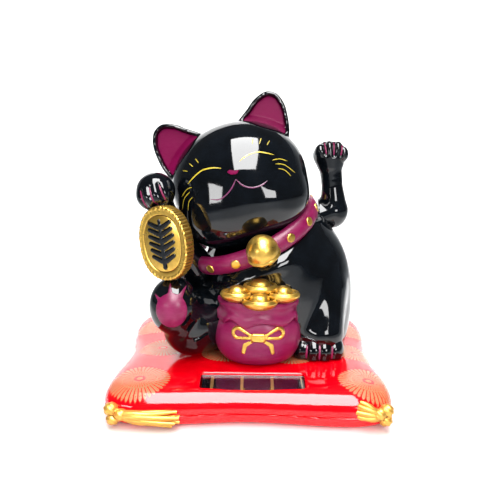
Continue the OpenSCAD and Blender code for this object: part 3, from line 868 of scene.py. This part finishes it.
def turned_metal(name, colour, rough):
    """Bright metal with fine turning marks."""
    paint = Paint(name)
    paint.set("Metallic", 1.0)
    marks = paint.noise(0.25, 3, 0.6, (1, 1, 0.15))
    paint.set("Base Color", paint.mix(marks, colour, tuple(c * 0.7 for c in colour)))
    paint.set("Roughness", marks * 0.2 + rough)
    paint.bump(marks, 0.02, 0.4)
    return paint.material


CELL_DIVIDERS = (-15.8, -4.1, 7.7, 19.6)


def cell_face(finish):
    """Thin-film solar cell: purple-black strips between bronze dividers."""
    paint = Paint("solar cell film", ior=1.5, coat_weight=1.0, coat_roughness=0.05)
    x = paint.point.part("X") * 1000 - WINDOW.origin[0]
    line = None
    for at in CELL_DIVIDERS:
        strip = (x - at).size().between(0.75, 0.45)
        line = strip if line is None else line.most(strip)
    mottled = paint.noise(0.7, 3, 0.6)
    film = paint.mix(mottled.between(0.3, 0.7), finish.cell, finish.cell_light)
    paint.set("Base Color", paint.mix(line * 0.7, film, finish.cell_bronze))
    paint.set("Roughness", line * 0.2 + mottled * 0.1 + 0.12)
    paint.bump(line, 0.03, 0.5)
    return paint.material


def clear_window():
    """Clear moulded window with faint moulding flow."""
    paint = Paint("clear window", ior=1.49, transmission_weight=1.0)
    flow = paint.noise(6, 3)
    paint.set("Base Color", paint.mix(flow, (0.93, 0.92, 0.94), (0.86, 0.86, 0.9)))
    paint.set("Roughness", flow * 0.04 + 0.01)
    paint.bump(flow, 0.01, 0.3)
    return paint.material


# ---------------------------------------------------------------- settings

def colour(name, note, value):
    """Colour setting whose default is given in display values."""
    return bpy.props.FloatVectorProperty(name=name, description=note, default=srgb(*value), subtype="COLOR",
                                         size=3, min=0, max=1)


def length(name, note, mm, low, high):
    """Length setting given in millimetres."""
    return bpy.props.FloatProperty(name=name, description=note, default=mm * MM, min=low * MM, max=high * MM,
                                   subtype="DISTANCE", unit="LENGTH")


class CatFinish(bpy.types.PropertyGroup):
    """Colours of the figurine"""
    black: colour("Black", "Lacquer on the cat", (4, 6, 9))
    plum: colour("Plum", "Enamel on ears, pads, collar and bag", (122, 8, 66))
    plum_light: colour("Light plum", "Enamel where the brush left less", (158, 50, 104))
    mouth: colour("Mouth", "Painted mouth line", (118, 44, 90))
    gold: colour("Gold", "Gold paint on coin and tassels", (226, 184, 84))
    gold_deep: colour("Deep gold", "Gold on bell, ingots and bow", (198, 158, 72))
    tassel: colour("Tassel gold", "Gold on the tassels", (236, 168, 78))
    # Painted shade: the dark colour that gold paint turns towards in its hollows.
    gold_painted_shade: colour("Gold in hollows", "Darkened gold in the low places", (70, 42, 8))
    line: colour("Line yellow", "Painted eyes, lashes and whiskers", (222, 196, 50))
    red: colour("Red", "Cushion", (245, 0, 20))
    red_deep: colour("Deep red", "Cushion where the colour is thicker", (225, 0, 14))
    print_gold: colour("Print gold", "Ink of the chrysanthemums", (172, 136, 90))
    cell: colour("Cell", "Solar cell film", (10, 4, 10))
    cell_light: colour("Cell light", "Lighter mottling of the film", (30, 10, 26))
    cell_bronze: colour("Cell divider", "Dividers of the solar cell", (160, 116, 50))


class CatSize(bpy.types.PropertyGroup):
    """Sizes of the figurine's fine detail"""
    grain: length("Mesh grain", "Mesh spacing on the large shells", 0.75, 0.4, 2)
    seam: length("Seam", "Hairline between two mouldings", 0.14, 0.05, 0.4)
    eye_line: length("Eye line", "Width of the painted eyes", 0.56, 0.3, 1.2)
    whisker_line: length("Whisker line", "Width of the painted whiskers and lashes", 0.33, 0.2, 1)
    mouth_line: length("Mouth line", "Width of the painted mouth", 0.5, 0.2, 1)
    toe_line: length("Toe line", "Width of the painted lines between toes", 0.68, 0.3, 1.5)
    stud: length("Collar stud", "Radius of a gold stud on the collar", 1.9, 1, 2.5)
    strand: length("Tassel strand", "Radius of one tassel strand", 0.95, 0.5, 1.3)


SWEEP_WIDE, SWEEP_FRONT, SWEEP_BACK, SWEEP_RADIUS, SWEEP_TOP = 3000, -900, 420, 160, 560
FOCAL_IN_FRAMES, CAMERA_TILT, CAMERA_ROLL = 701 / 500, 11.4, 0.7


class CAT_OT_stage(bpy.types.Operator):
    """White sweep with painted shade, grey in front of and beside the figure; softboxes, dim surroundings and the
    camera
    """
    bl_idname = "cat.stage"
    bl_label = "Stage"

    def execute(self, context):
        white = Paint("white sweep")
        tone = white.noise(60, 3)
        x, y = white.point.part("X").size(), white.point.part("Y")
        # Painted shade: the sweep is dark grey in front of the figure and to its sides, and pale only in a wedge
        # under and behind it.
        near = y.between(-0.2, -0.1) * (x - y * 0.36).between(0.2, 0.12)
        pale = white.mix(tone, (0.93, 0.93, 0.93), (0.9, 0.9, 0.9))
        white.set("Base Color", white.mix(near, (0.32, 0.34, 0.36), pale))
        white.set("Roughness", tone * 0.1 + 0.6)
        white.bump(white.noise(2, 3), 0.02, 0.2)
        rows = [(SWEEP_FRONT, 0), (60, 0), (SWEEP_BACK, 0)]
        rows += [(SWEEP_BACK + SWEEP_RADIUS * math.sin(a), SWEEP_RADIUS - SWEEP_RADIUS * math.cos(a))
                 for a in np.radians(np.arange(10, 91, 10))]
        rows += [(SWEEP_BACK + SWEEP_RADIUS, SWEEP_TOP)]
        points = [(x, y, z) for y, z in rows for x in (-SWEEP_WIDE / 2, SWEEP_WIDE / 2)]
        faces = [[2 * i, 2 * i + 1, 2 * i + 3, 2 * i + 2] for i in range(len(rows) - 1)]
        sweep = mesh_object("white_sweep", points, faces)
        sweep.data.materials.append(white.material)

        def softbox(name, at, aim, wide, high, power, glossy=True, diffuse=True):
            lamp = bpy.data.lights.new(name, "AREA")
            lamp.shape, lamp.size, lamp.size_y = "RECTANGLE", wide * MM, high * MM
            lamp.energy = power
            obj = bpy.data.objects.new(name, lamp)
            obj.location = np.array(at) * MM
            obj.visible_glossy, obj.visible_diffuse = glossy, diffuse
            way = Vector(np.array(aim, float) - np.array(at, float))
            obj.rotation_euler = way.to_track_quat("-Z", "Y").to_euler()
            context.scene.collection.objects.link(obj)

        softbox("upper_softbox", (30, -340, 690), (0, 0, 80), 420, 860, 22, diffuse=False)
        softbox("upper_fill", (30, -340, 690), (0, 0, 80), 420, 600, 5.5, glossy=False)
        softbox("right_softbox", (255, -545, 205), (0, 0, 75), 170, 150, 1.15)
        softbox("left_softbox", (-345, -480, 125), (0, 0, 75), 220, 60, 0.6)
        softbox("overhead_fill", (0, 40, 900), (0, 0, 0), 900, 700, 3.2, glossy=False)
        softbox("front_fill", (0, -700, 350), (0, 0, 60), 700, 500, 2.4, glossy=False)
        softbox("sweep_lamp", (0, 200, 700), (0, 470, 60), 900, 300, 6, glossy=False)

        world = bpy.data.worlds.new("studio")
        world.use_nodes = True
        world.node_tree.nodes["Background"].inputs["Color"].default_value = (0.9, 0.94, 1, 1)
        world.node_tree.nodes["Background"].inputs["Strength"].default_value = 0.1
        context.scene.world = world
        context.scene.view_settings.view_transform = "Standard"

        camera = bpy.data.cameras.new("camera")
        camera.sensor_width, camera.lens = 36, 36 * FOCAL_IN_FRAMES
        obj = bpy.data.objects.new("camera", camera)
        obj.location = (0, -0.3, 0.118)
        obj.rotation_euler = (Matrix.Rotation(math.radians(90 - CAMERA_TILT), 3, "X")
                              @ Matrix.Rotation(math.radians(CAMERA_ROLL), 3, "Z")).to_euler()
        context.scene.collection.objects.link(obj)
        context.scene.camera = obj
        return {"FINISHED"}


class CAT_OT_cushion(bpy.types.Operator):
    """Cushion lid with its prints, tray and solar window"""
    bl_idname = "cat.cushion"
    bl_label = "Cushion"

    def execute(self, context):
        finish, size = context.scene.cat_finish, context.scene.cat_size
        red = cushion_red(finish)
        reach, cell = CUSHION_HALF + 3, size.grain / MM
        plain = plain_plastic("red tray", finish.red_deep, finish.red, 0.18)
        field_piece("cushion_lid", cushion_lid, (-reach, -reach, 3), (reach, reach, 17), cell,
                    red, FIGURE, "red_gloss", "base_top_shell", crease=50)
        field_piece("cushion_tray", cushion_tray, (-reach, -reach, -2), (reach, reach, 7), cell,
                    plain, FIGURE, "red_tray", "base_bottom_tray", crease=50)
        dress("window_lens", clear_window())
        dress("solar_cell", cell_face(finish))
        return {"FINISHED"}


BODY_SEAM_LOW, BODY_SEAM_HIGH = np.array((9.0, 15.0)), np.array((2.5, 66.5))  # (y, z) ends of the seam


def black_halves(context, whole, name, at, way, body, *nodes):
    """Splits a black moulding into its front and rear pieces."""
    finish, size = context.scene.cat_finish, context.scene.cat_size
    pieces = halves(whole, (name + "_front", name + "_rear"), at, way, size.seam / MM)
    gloss = black_gloss(finish)
    for piece, node in zip(pieces, nodes):
        finish_piece(piece, gloss, body, "black_gloss", node)


class CAT_OT_body(bpy.types.Operator):
    """Trunk with its haunch, in front and rear mouldings"""
    bl_idname = "cat.body"
    bl_label = "Body"

    def execute(self, context):
        cell = context.scene.cat_size.grain / MM
        whole = field_object("body", body_shape, (-38, -28, 12), (52, 42, 84), cell)
        rise = BODY_SEAM_HIGH - BODY_SEAM_LOW
        across = np.array((0, rise[1], -rise[0])) / np.linalg.norm(rise)
        black_halves(context, whole, "body", (0, *BODY_SEAM_LOW), across, FIGURE,
                     "body_front_shell", "body_rear_shell")
        return {"FINISHED"}


EYES = [[(-20.1, 3.8), (-17, 5.4), (-13, 6.8), (-10.3, 6.7), (-7.8, 6.2), (-5, 5)],
        [(2.6, 5.5), (6.2, 7), (10.3, 7.2), (13.1, 6.2), (16.3, 4.5)]]
LASHES = [[(-14.2, 12.5), (-13.3, 10.4)], [(-17.2, 11.7), (-16, 9.7)], [(-20.8, 10), (-18.8, 8.8)],
          [(10.2, 13.3), (9.4, 11)], [(13.4, 12.6), (12, 10.3)], [(16.3, 10.8), (14.8, 9.1)]]
WHISKERS = [[(15, 2.5), (18.1, 2.4), (20.7, 0.9)], [(15.8, 0.8), (19.1, -0.3), (22.3, -4.2)],
            [(16.3, -1.2), (18.7, -2.5), (20.4, -5.3)], [(-18.8, 1.9), (-21.2, 1.9), (-24.4, 0.1)],
            [(-20.2, 0.5), (-23.5, -1.1), (-25.8, -4.6)], [(-19.7, -1.9), (-21.9, -3.1), (-23.4, -6.2)]]
MOUTH = [[(-0.7, -0.8), (-2.8, -3.2), (-5.7, -5.3), (-9.4, -6.4), (-12.9, -5.1)],
         [(-0.7, -0.8), (1.1, -3.9), (4.2, -5.8), (7.9, -6), (10.8, -4.9)]]
NOSE_OUTLINE = [(-2.7, 2.7), (-1.1, 3.2), (1.0, 3.1), (1.5, 2.6), (0.1, 1.4), (-1.8, 1.7)]


def nose(p):
    """Small rounded triangle."""
    q = HEAD.local(p)
    flat = outline_distance(NOSE_OUTLINE, q[:, 0], q[:, 2]) - 0.4
    skull = head_skull(p)
    return keep(keep(skull - 0.75, flat, 0.5), -(skull + 0.8))


def face_strokes(lines, width):
    """Painted strokes over the face, through (x, z) places on the head."""
    return [ribbon(head_skull, HEAD.world(front_curve(line, 6)), width / MM, HEAD.axes[:, 1]) for line in lines]


class CAT_OT_head(bpy.types.Operator):
    """Head mouldings, ear linings and the painted face"""
    bl_idname = "cat.head"
    bl_label = "Head"

    def execute(self, context):
        finish, size = context.scene.cat_finish, context.scene.cat_size
        whole = field_object("head", head_outside, (-46, -32, 50), (36, 30, 128), size.grain / MM)
        black_halves(context, whole, "head", HEAD.origin, HEAD.axes[:, 1], FIGURE,
                     "head_front_shell", "head_rear_shell")
        plum = plum_enamel(finish, "plum ear enamel", 0.35, 0.1, gloss=0.0, ior=1.13)
        field_piece("ear_linings", ear_lining, (-42, -16, 88), (34, 14, 128), 0.42, plum, FIGURE, "plum_paint")
        field_piece("nose", nose, (-10, -32, 84), (4, -20, 94), 0.22, plum, FIGURE, "plum_paint")
        strokes = face_strokes(EYES, size.eye_line) + face_strokes(LASHES + WHISKERS, size.whisker_line)
        strokes = merged_object("eyes_and_whiskers", strokes)
        finish_piece(strokes, line_paint("yellow line paint", finish.line, 0.3), FIGURE, "gold_paint")
        mouth = merged_object("mouth", face_strokes(MOUTH, size.mouth_line))
        finish_piece(mouth, line_paint("plum line paint", finish.mouth, 0.25), FIGURE, "plum_paint")
        return {"FINISHED"}


def toe_lines(name, field, lines, width, paint, body):
    """Paint in the furrows between toes."""
    parts = [ribbon(field, front_curve(line, 6), width, (0, 1, 0), lift=0.1, sink=0.4) for line in lines]
    finish_piece(merged_object(name, parts), paint, body, "plum_paint")


class CAT_OT_limbs(bpy.types.Operator):
    """Holding arm, seated leg with its sole pad, and front paw"""
    bl_idname = "cat.limbs"
    bl_label = "Limbs"

    def execute(self, context):
        finish, size = context.scene.cat_finish, context.scene.cat_size
        gloss = black_gloss(finish)
        plum = plum_enamel(finish, "plum pad enamel", 0.3, 0.3, gloss=0.1, ior=1.4)
        for name, field, low, high, cell, node in (
                ("holding_arm_shell", holding_arm, (-50, -31, 38), (-12, 8, 97), 0.5, "holding_arm"),
                ("seated_leg", sole_leg, (-44, -37, 12), (3, 9, 54), 0.6, "left_leg"),
                ("front_paw", right_paw, (14, -28, 12), (46, 2, 31), 0.45, "right_foot")):
            field_piece(name, field, low, high, cell, gloss, FIGURE, "black_gloss", node)
        field_piece("sole_pad", sole_pad, (-42, -38, 27), (-20, -18, 53), 0.3, plum, FIGURE, "plum_paint")
        width = size.toe_line / MM
        toe_lines("holding_paw_lines", holding_arm, HOLDING_PAW_LINES, width, plum, FIGURE)
        toe_lines("front_paw_lines", right_paw, RIGHT_PAW_LINES, width * 1.3, plum, FIGURE)
        return {"FINISHED"}


class CAT_OT_waving_arm(bpy.types.Operator):
    """Waving arm in two mouldings, with the lines between its toes"""
    bl_idname = "cat.waving_arm"
    bl_label = "Waving arm"

    def execute(self, context):
        finish, size = context.scene.cat_finish, context.scene.cat_size
        whole = field_object("arm", waving_arm, (25, 2, 60), (47, 22, 108), 0.45)
        black_halves(context, whole, "arm", SHOULDER, (0, 1, 0), ARM, "arm_front_half", "arm_rear_half")
        plum = plum_enamel(finish, "plum toe enamel", 0.3, 0.1, gloss=0.0, ior=1.25)
        toe_lines("waving_paw_lines", waving_arm, WAVING_PAW_LINES, size.toe_line / MM, plum, ARM)
        return {"FINISHED"}


BELL_MIDDLE = np.array((4.9, -31.0, 63.4))
BELL_PLACE = Place(BELL_MIDDLE, turn("y", -20) @ turn("x", 24))


def bell(p):
    """Round bell with a rolled belt and a curved mouth below it."""
    q = BELL_PLACE.local(p)
    r = np.hypot(q[:, 0], q[:, 1])
    ball = np.linalg.norm(q, axis=1) - 6.5
    belt = np.hypot(r - 6.2, (q[:, 2] + 2.1) / 1.1) - 0.6
    d = join(ball, belt, 0.35)
    mouth = keep(np.abs(q[:, 0]) - 0.55, q[:, 2] + 3.4, 0.2)
    return cut(d, keep(mouth, -(np.linalg.norm(q, axis=1) - 5.6)), 0.25)


STUD_START, STUD_STEP, COLLAR_REACH = -84.5, 24.0, 28.9
COLLAR_SECTION = [(24.7, -3.6), (25.4, -3.95), (26.4, -4), (27.5, -3.6), (28.4, -2.6), (28.85, -1.2), (28.95, 0.2),
                  (28.8, 1.5), (28.3, 2.7), (27.4, 3.6), (26.4, 4), (25.4, 3.95), (24.7, 3.6)]


class CAT_OT_collar(bpy.types.Operator):
    """Plum collar with gold studs, and the bell"""
    bl_idname = "cat.collar"
    bl_label = "Collar and bell"

    def execute(self, context):
        finish, size = context.scene.cat_finish, context.scene.cat_size
        a = np.radians(np.arange(0, 360, 2))
        rows = [[(COLLAR_SHIFT + COLLAR_STRETCH * r * math.cos(t), r * math.sin(t), z) for r, z in COLLAR_SECTION]
                for t in a]
        band = outward(mesh_object("collar_band", *hoop(rows), COLLAR, crease=60))
        plum = plum_enamel(finish, "plum collar enamel", 0.3, 0.25, gloss=0.1, ior=1.4)
        finish_piece(band, plum, FIGURE, "plum_paint", "collar")

        def studs(p):
            q = (COLLAR.local(p) - (COLLAR_SHIFT, 0, 0)) / (COLLAR_STRETCH, 1, 1)
            reach = np.hypot(q[:, 0], q[:, 1]) - COLLAR_REACH
            turned = np.degrees(np.arctan2(q[:, 1], q[:, 0])) - STUD_START
            near = (turned + STUD_STEP / 2) % STUD_STEP - STUD_STEP / 2
            along, up = np.radians(near) * COLLAR_REACH, q[:, 2] - 0.2
            disc = np.hypot(along, up) - size.stud / MM
            clear = 8.6 - np.linalg.norm(p - BELL_MIDDLE, axis=1)
            return keep(keep(keep(reach - 0.3 + up * up * 0.05, disc, 0.3), -(reach + 0.9)), clear)

        gold = gold_paint(finish, "gold stud paint", finish.gold_deep, finish.gold, 0.28, 0.2)
        field_piece("collar_studs", studs, (-32, -32, 40), (38, 36, 92), 0.42, gold, FIGURE, "gold_paint")
        deep = gold_paint(finish, "satin bell gold", finish.gold_deep, finish.gold, 0.27, 0.9)
        field_piece("round_bell", bell, (-4, -40, 54), (14, -22, 73), 0.35, deep, FIGURE, "gold_paint", "bell")
        return {"FINISHED"}


COIN_HALF = (11.4, 15.0)


def coin_leaf_bars():
    """Stem and slanted leaves, as pairs of end points."""
    bars = [((0, -9.4), (0, 9.2), 0.95)]
    for i, y in enumerate((-6.8, -4.1, -1.4, 1.3, 4.0, 6.6)):
        reach = 5.6 - 0.3 * abs(i - 2.4)
        for side in (-1, 1):
            bars.append(((side * 1.2, y), (side * reach, y + 1.9), 1.1))
    return bars


def coin_relief(p):
    """Raised leaf ornament on the coin's face."""
    q = COIN.local(p)
    flat = None
    for a, b, r in coin_leaf_bars():
        bar = bone(np.stack((q[:, 0], q[:, 1], 0 * q[:, 0]), 1), (*a, 0), (*b, 0), r, r * 0.75)
        flat = bar if flat is None else np.minimum(flat, bar)
    return keep(keep(q[:, 2] - 3.3, flat, 0.5), -(q[:, 2] - 2.0))


COIN_PROFILE = [  # share of the half width, height, hammering, knurling
    (0.03, -2.7, 0, 0), (0.5, -2.7, 0, 0), (0.9, -2.75, 0, 0), (0.95, -2.9, 0.5, 0), (0.985, -2.6, 0, 0.5),
    (0.995, -1.9, 0, 1), (1.0, -0.6, 0, 1), (1.0, 0.6, 0, 1), (0.995, 1.9, 0, 1), (0.985, 2.55, 0.4, 0.5),
    (0.96, 2.92, 1, 0), (0.93, 2.98, 1, 0), (0.905, 2.85, 0.5, 0), (0.885, 2.68, 0.15, 0), (0.86, 2.66, 0, 0),
    (0.785, 2.7, 0, 0), (0.772, 2.6, 0, 0), (0.762, 2.34, 0, 0), (0.748, 2.34, 0, 0), (0.738, 2.6, 0, 0),
    (0.725, 2.7, 0, 0), (0.4, 2.74, 0, 0), (0.03, 2.76, 0, 0)]


class CAT_OT_coin(bpy.types.Operator):
    """Oval gold coin with a hammered rim, a knurled edge and a leaf ornament"""
    bl_idname = "cat.coin"
    bl_label = "Coin"

    def execute(self, context):
        finish = context.scene.cat_finish
        a = np.radians(np.arange(0, 360, 1.0))
        c = np.abs(np.cos(a)) ** 0.9 * np.sign(np.cos(a))
        s = np.abs(np.sin(a)) ** 0.9 * np.sign(np.sin(a))
        hammer = 0.16 * np.cos(38 * a) + 0.07 * np.cos(61 * a + 1)
        knurl = 0.22 * np.cos(60 * a)
        rows = []
        for k, z, beaten, edge in COIN_PROFILE:
            grow = k * (1 + (knurl * edge - 0.22 * edge) / 13)
            height = z + hammer * beaten - 0.1 * beaten
            rows.append(np.stack((COIN_HALF[0] * c * grow, COIN_HALF[1] * s * grow, height), 1))
        coin = outward(mesh_object("oval_coin", *grid_solid(rows), COIN, crease=70))
        gold = gold_paint(finish, "bright coin gold", finish.gold, finish.gold_deep, 0.26, 0.95, 0.7)
        finish_piece(coin, gold, FIGURE, "gold_paint", "coin")
        field_piece("coin_leaves", coin_relief, (-46, -38, 50), (-20, -20, 84), 0.3, black_gloss(finish),
                    FIGURE, "black_gloss")
        return {"FINISHED"}


BAG_Y = -20.6
BAG_RIM = [  # height, left, right, depth, scallop
    (15.1, -5, 12.5, 5, 0), (15.3, -7.5, 14.8, 8, 0), (17.2, -10.6, 18.1, 10.4, 0), (20.5, -13, 20.2, 12.4, 0),
    (25, -14.1, 21.4, 13.4, 0), (29, -13.9, 21.2, 13.4, 0), (32, -12.9, 20.4, 12.9, 0.15),
    (34, -11.8, 19.1, 12, 0.5), (33.9, -11.9, 19.2, 12.2, 1), (33.3, -12.6, 19.9, 12.8, 1.2),
    (34, -13.1, 20.6, 13.3, 1.1), (35.8, -13, 20.5, 13.4, 0.9), (37.4, -12.3, 19.8, 12.9, 0.6),
    (39, -12.2, 19.8, 12.9, 0.45), (40.6, -12.9, 20.5, 13.2, 0.4), (41.9, -12.8, 20.3, 13.1, 0.3),
    (42.3, -12, 19.6, 12.4, 0.2), (42.1, -10, 17.6, 10.6, 0), (41.6, -5, 12, 6, 0)]
INGOTS = [((4.3, -27.0, 48.0), 7.2), ((-4.9, -28.6, 45.5), 6.9), ((13.4, -28.6, 45.5), 6.9),
          ((4.1, -32.6, 43.4), 7.2)]


def ingot_cluster(p):
    """Four boat-shaped ingots, each with a rolled rim and a domed middle."""
    d = None
    for (x, y, z), w in INGOTS:
        q = p - (x, y, z)
        tray = keep(egg(q, (0, 0, 0), (w, w * 0.84, 3.6)), q[:, 2] - 0.5, 0.8)
        rim = np.hypot((np.hypot(q[:, 0] / w, q[:, 1] / (w * 0.84)) - 0.84) * w * 0.9, q[:, 2] - 0.55) - 0.62
        dome = egg(q, (0, 0, 0.7), (w * 0.56, w * 0.5, 2.7))
        one = join(join(tray, rim, 0.35), dome, 0.3)
        d = one if d is None else join(d, one, 0.12)
    return d


BOW_MIDDLE = np.array((3.7, -33.4, 28.7))


def ribbon_bow(p):
    """Two open loops, a knot and two curling tails, following the bag's curve."""
    q = p - BOW_MIDDLE
    x, z = q[:, 0], q[:, 2]
    y = q[:, 1] - 0.024 * x * x
    flat = np.stack((np.abs(x), 0 * y, z), 1)
    loop = bone(flat, (1.8, 0, 0), (8.0, 0, 1.5), 0.7, 2.75)
    hole = bone(flat, (4.2, 0, 0.6), (8.0, 0, 1.5), 0.25, 1.35)
    rope = keep(cut(loop, hole, 0.3), np.abs(y) - 1.15, 0.5)
    web = keep(loop + 0.3, np.abs(y - 0.8) - 0.3)
    bend = (5.2, 0, -3.2)
    tail = np.minimum(bone(flat, (1.6, 0, -1), bend, 0.6, 1.0), bone(flat, bend, (5.9, 0, -6.4), 1.0, 0.75))
    tail = keep(tail, np.abs(y) - 0.8, 0.4)
    knot = box_field(np.stack((x, y, z), 1), (2.9, 1.45, 1.75), 0.8)
    return join(join(join(rope, web, 0.1), tail, 0.3), knot, 0.25)


class CAT_OT_bag(bpy.types.Operator):
    """Money bag with a scalloped lip, its ingots and the ribbon bow"""
    bl_idname = "cat.bag"
    bl_label = "Money bag"

    def execute(self, context):
        finish = context.scene.cat_finish
        a = np.radians(np.arange(0, 360, 2.0))
        wave = np.cos(7 * a + 2.6) + 0.3 * np.cos(11 * a + 0.6)
        rows = []
        for z, left, right, depth, scallop in spline(BAG_RIM, 3):
            grow = 1 + 0.022 * scallop * np.cos(7 * a + 2.6)
            crease = 1 - 0.012 * math.exp(-((z - 31) / 2.5) ** 2) * (1 - np.cos(14 * a + 1)) / 2
            x = (left + right) / 2 + (right - left) / 2 * np.cos(a) * grow * crease
            y = BAG_Y - np.where(np.sin(a) > 0, depth, 1.5) * np.sin(a) * grow * crease
            rows.append(np.stack((x, y, z + scallop * wave), 1))
        bag = outward(mesh_object("money_bag_shell", *grid_solid(rows), crease=80))
        plum = plum_enamel(finish, "plum bag enamel", 0.34, 0.25, gloss=0.15, ior=1.4)
        finish_piece(bag, plum, FIGURE, "plum_paint", "money_bag")
        deep = gold_paint(finish, "satin ingot gold", finish.gold_deep, finish.gold, 0.3, 0.9)
        field_piece("gold_ingots", ingot_cluster, (-14, -42, 38), (23, -18, 54), 0.35, deep, FIGURE,
                    "gold_paint", "ingots")
        bright = gold_paint(finish, "bow gold", finish.gold, finish.gold_deep, 0.26, 0.8)
        field_piece("ribbon_bow", ribbon_bow, (-8, -37, 20), (15, -28, 34), 0.28, bright, FIGURE,
                    "gold_paint", "bag_bow")
        return {"FINISHED"}


def tassel(points, strand, turns, thin):
    """Twisted strands along a line of (x, y, z, radius) places; thin squeezes the bunch front to back."""
    path = spline(points, 8)
    way = np.gradient(path[:, :3], axis=0)
    way /= np.linalg.norm(way, axis=1, keepdims=True)
    side = np.cross(way, (0.0, 0.0, 1.0))
    side /= np.linalg.norm(side, axis=1, keepdims=True)
    top = np.cross(side, way)
    t = np.linspace(0, 1, len(path))
    parts = []
    for ring, count in ((1.0, 8), (0.4, 4)):
        for k in range(count):
            a = 2 * math.pi * (k + 0.35 * ring) / count + turns * 2 * math.pi * t * (1 - t * 0.6)
            spread = ring * np.maximum(path[:, 3] - strand, 0.1) * (1 + 0.1 * np.sin(9 * t + 2.4 * k + 5 * ring))
            line = (path[:, :3] + (spread * thin * np.cos(a))[:, None] * side
                    + (spread * np.sin(a))[:, None] * top)
            line[:, 2] = np.maximum(line[:, 2], strand + 0.15)
            reach = 1 - 0.06 * (math.sin(5.1 * k + ring) + 1) * t[:, None]
            line = line[0] + (line - line[0]) * reach
            swell = (1 + 0.35 * np.sin(math.pi * t) - 0.35 * t) * (1 + 0.05 * np.sin(17 * t + k))
            parts.append(tube(line, strand * swell, 8))
    return parts


TASSEL_LEFT = [(-49.6, -55.0, 6.4, 1.7), (-46.6, -56.3, 5.6, 2.0), (-41, -57.0, 4.9, 2.7), (-34, -57.2, 4.4, 3.3),
               (-25.4, -56.8, 4.2, 4.0)]
TASSEL_RIGHT = [(50.4, -55.2, 6.2, 1.7), (48.2, -56.2, 6.5, 2.2), (45, -56.3, 7.2, 3.4), (40.6, -55.2, 8.2, 4.7)]


KNOT_LOBES = [(-51.4, -54.6, 7.2, 2.7), (-50.6, -55.4, 3.6, 2.5), (-47.6, -56.2, 5.6, 2.5),
              (51.9, -54.6, 7.9, 2.7), (51.6, -55.4, 4.4, 2.5), (49, -56.2, 7.0, 2.5)]


def knot_lobes(p):
    """Cord knots at the head of both tassels."""
    d = None
    for x, y, z, r in KNOT_LOBES:
        q = p - (x, y, z)
        one = np.linalg.norm(q * (1, 1, 1.1), axis=1) - r + 0.16 * np.cos(3.6 * (q[:, 0] * 0.6 + q[:, 2]))
        d = one if d is None else join(d, one, 0.35)
    return d


class CAT_OT_tassels(bpy.types.Operator):
    """Gold tassels at the cushion's front corners"""
    bl_idname = "cat.tassels"
    bl_label = "Tassels"

    def execute(self, context):
        finish, size = context.scene.cat_finish, context.scene.cat_size
        gold = gold_paint(finish, "tassel gold", finish.tassel, finish.gold_deep, 0.36, 0.8, 0.4, 0.75)
        strand = size.strand / MM
        for side, places, turns, thin in (("left", TASSEL_LEFT, 0.4, 0.75), ("right", TASSEL_RIGHT, 0.2, 0.4)):
            strands = merged_object("tassel_strands_" + side, tassel(places, strand, turns, thin))
            finish_piece(strands, gold, FIGURE, "gold_paint", "tassel_" + side)
        field_piece("tassel_knots", knot_lobes, (-56, -60, 0), (56, -50, 12), 0.4, gold, FIGURE, "gold_paint")
        return {"FINISHED"}


def dress(node, material):
    """Puts a material on a carried-over CAD node."""
    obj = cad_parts[node]
    obj.data.materials.clear()
    obj.data.materials.append(material)


class CAT_OT_mechanism(bpy.types.Operator):
    """Finishes of the working parts inside"""
    bl_idname = "cat.mechanism"
    bl_label = "Mechanism"

    def execute(self, context):
        steel = turned_metal("zinc screw steel", srgb(190, 190, 186), 0.25)
        ivory = plain_plastic("ivory mechanism plastic", srgb(228, 220, 196), srgb(214, 204, 176), 0.4)
        board = plain_plastic("green circuit board", srgb(18, 92, 48), srgb(12, 70, 38), 0.35, grain_mm=0.6)
        black = plain_plastic("black component epoxy", srgb(20, 20, 22), srgb(36, 36, 38), 0.45)
        copper = turned_metal("enamelled copper wire", srgb(196, 98, 48), 0.3)
        nickel = turned_metal("nickel magnet", srgb(206, 204, 198), 0.18)
        sleeve = plain_plastic("lead sleeve", srgb(150, 20, 22), srgb(120, 14, 16), 0.5)
        finishes = {"circuit_board": board, "capacitor": black, "driver_chip": black, "drive_coil": copper,
                    "coil_bobbin": ivory, "bearing_bracket": ivory, "pendulum_lever": ivory, "magnet": nickel,
                    "cell_leads": sleeve, "swing_axle": steel, "base_screws": steel, "body_screws": steel,
                    "bracket_screws": steel}
        for node, material in finishes.items():
            dress(node, material)
        return {"FINISHED"}


class CAT_PT_panel(bpy.types.Panel):
    """Sidebar panel with every step of the figurine"""
    bl_label = "Beckoning cat"
    bl_idname = "CAT_PT_panel"
    bl_space_type = "VIEW_3D"
    bl_region_type = "UI"
    bl_category = "Waving Cat"

    def draw(self, context):
        for operator in OPERATORS:
            self.layout.operator(operator.bl_idname)
        for group in (context.scene.cat_finish, context.scene.cat_size):
            box = self.layout.box()
            for key in group.__annotations__:
                box.prop(group, key)


OPERATORS = (CAT_OT_stage, CAT_OT_cushion, CAT_OT_body, CAT_OT_head, CAT_OT_limbs, CAT_OT_waving_arm,
             CAT_OT_collar, CAT_OT_coin, CAT_OT_bag, CAT_OT_tassels, CAT_OT_mechanism)
CLASSES = (CatFinish, CatSize) + OPERATORS + (CAT_PT_panel,)


def register():
    for cls in CLASSES:
        bpy.utils.register_class(cls)
    bpy.types.Scene.cat_finish = bpy.props.PointerProperty(type=CatFinish)
    bpy.types.Scene.cat_size = bpy.props.PointerProperty(type=CatSize)


def unregister():
    del bpy.types.Scene.cat_finish
    del bpy.types.Scene.cat_size
    for cls in reversed(CLASSES):
        bpy.utils.unregister_class(cls)


def main():
    register()
    for operator in OPERATORS:
        getattr(bpy.ops.cat, operator.bl_idname.split(".")[1])()


if __name__ == "__main__":
    main()
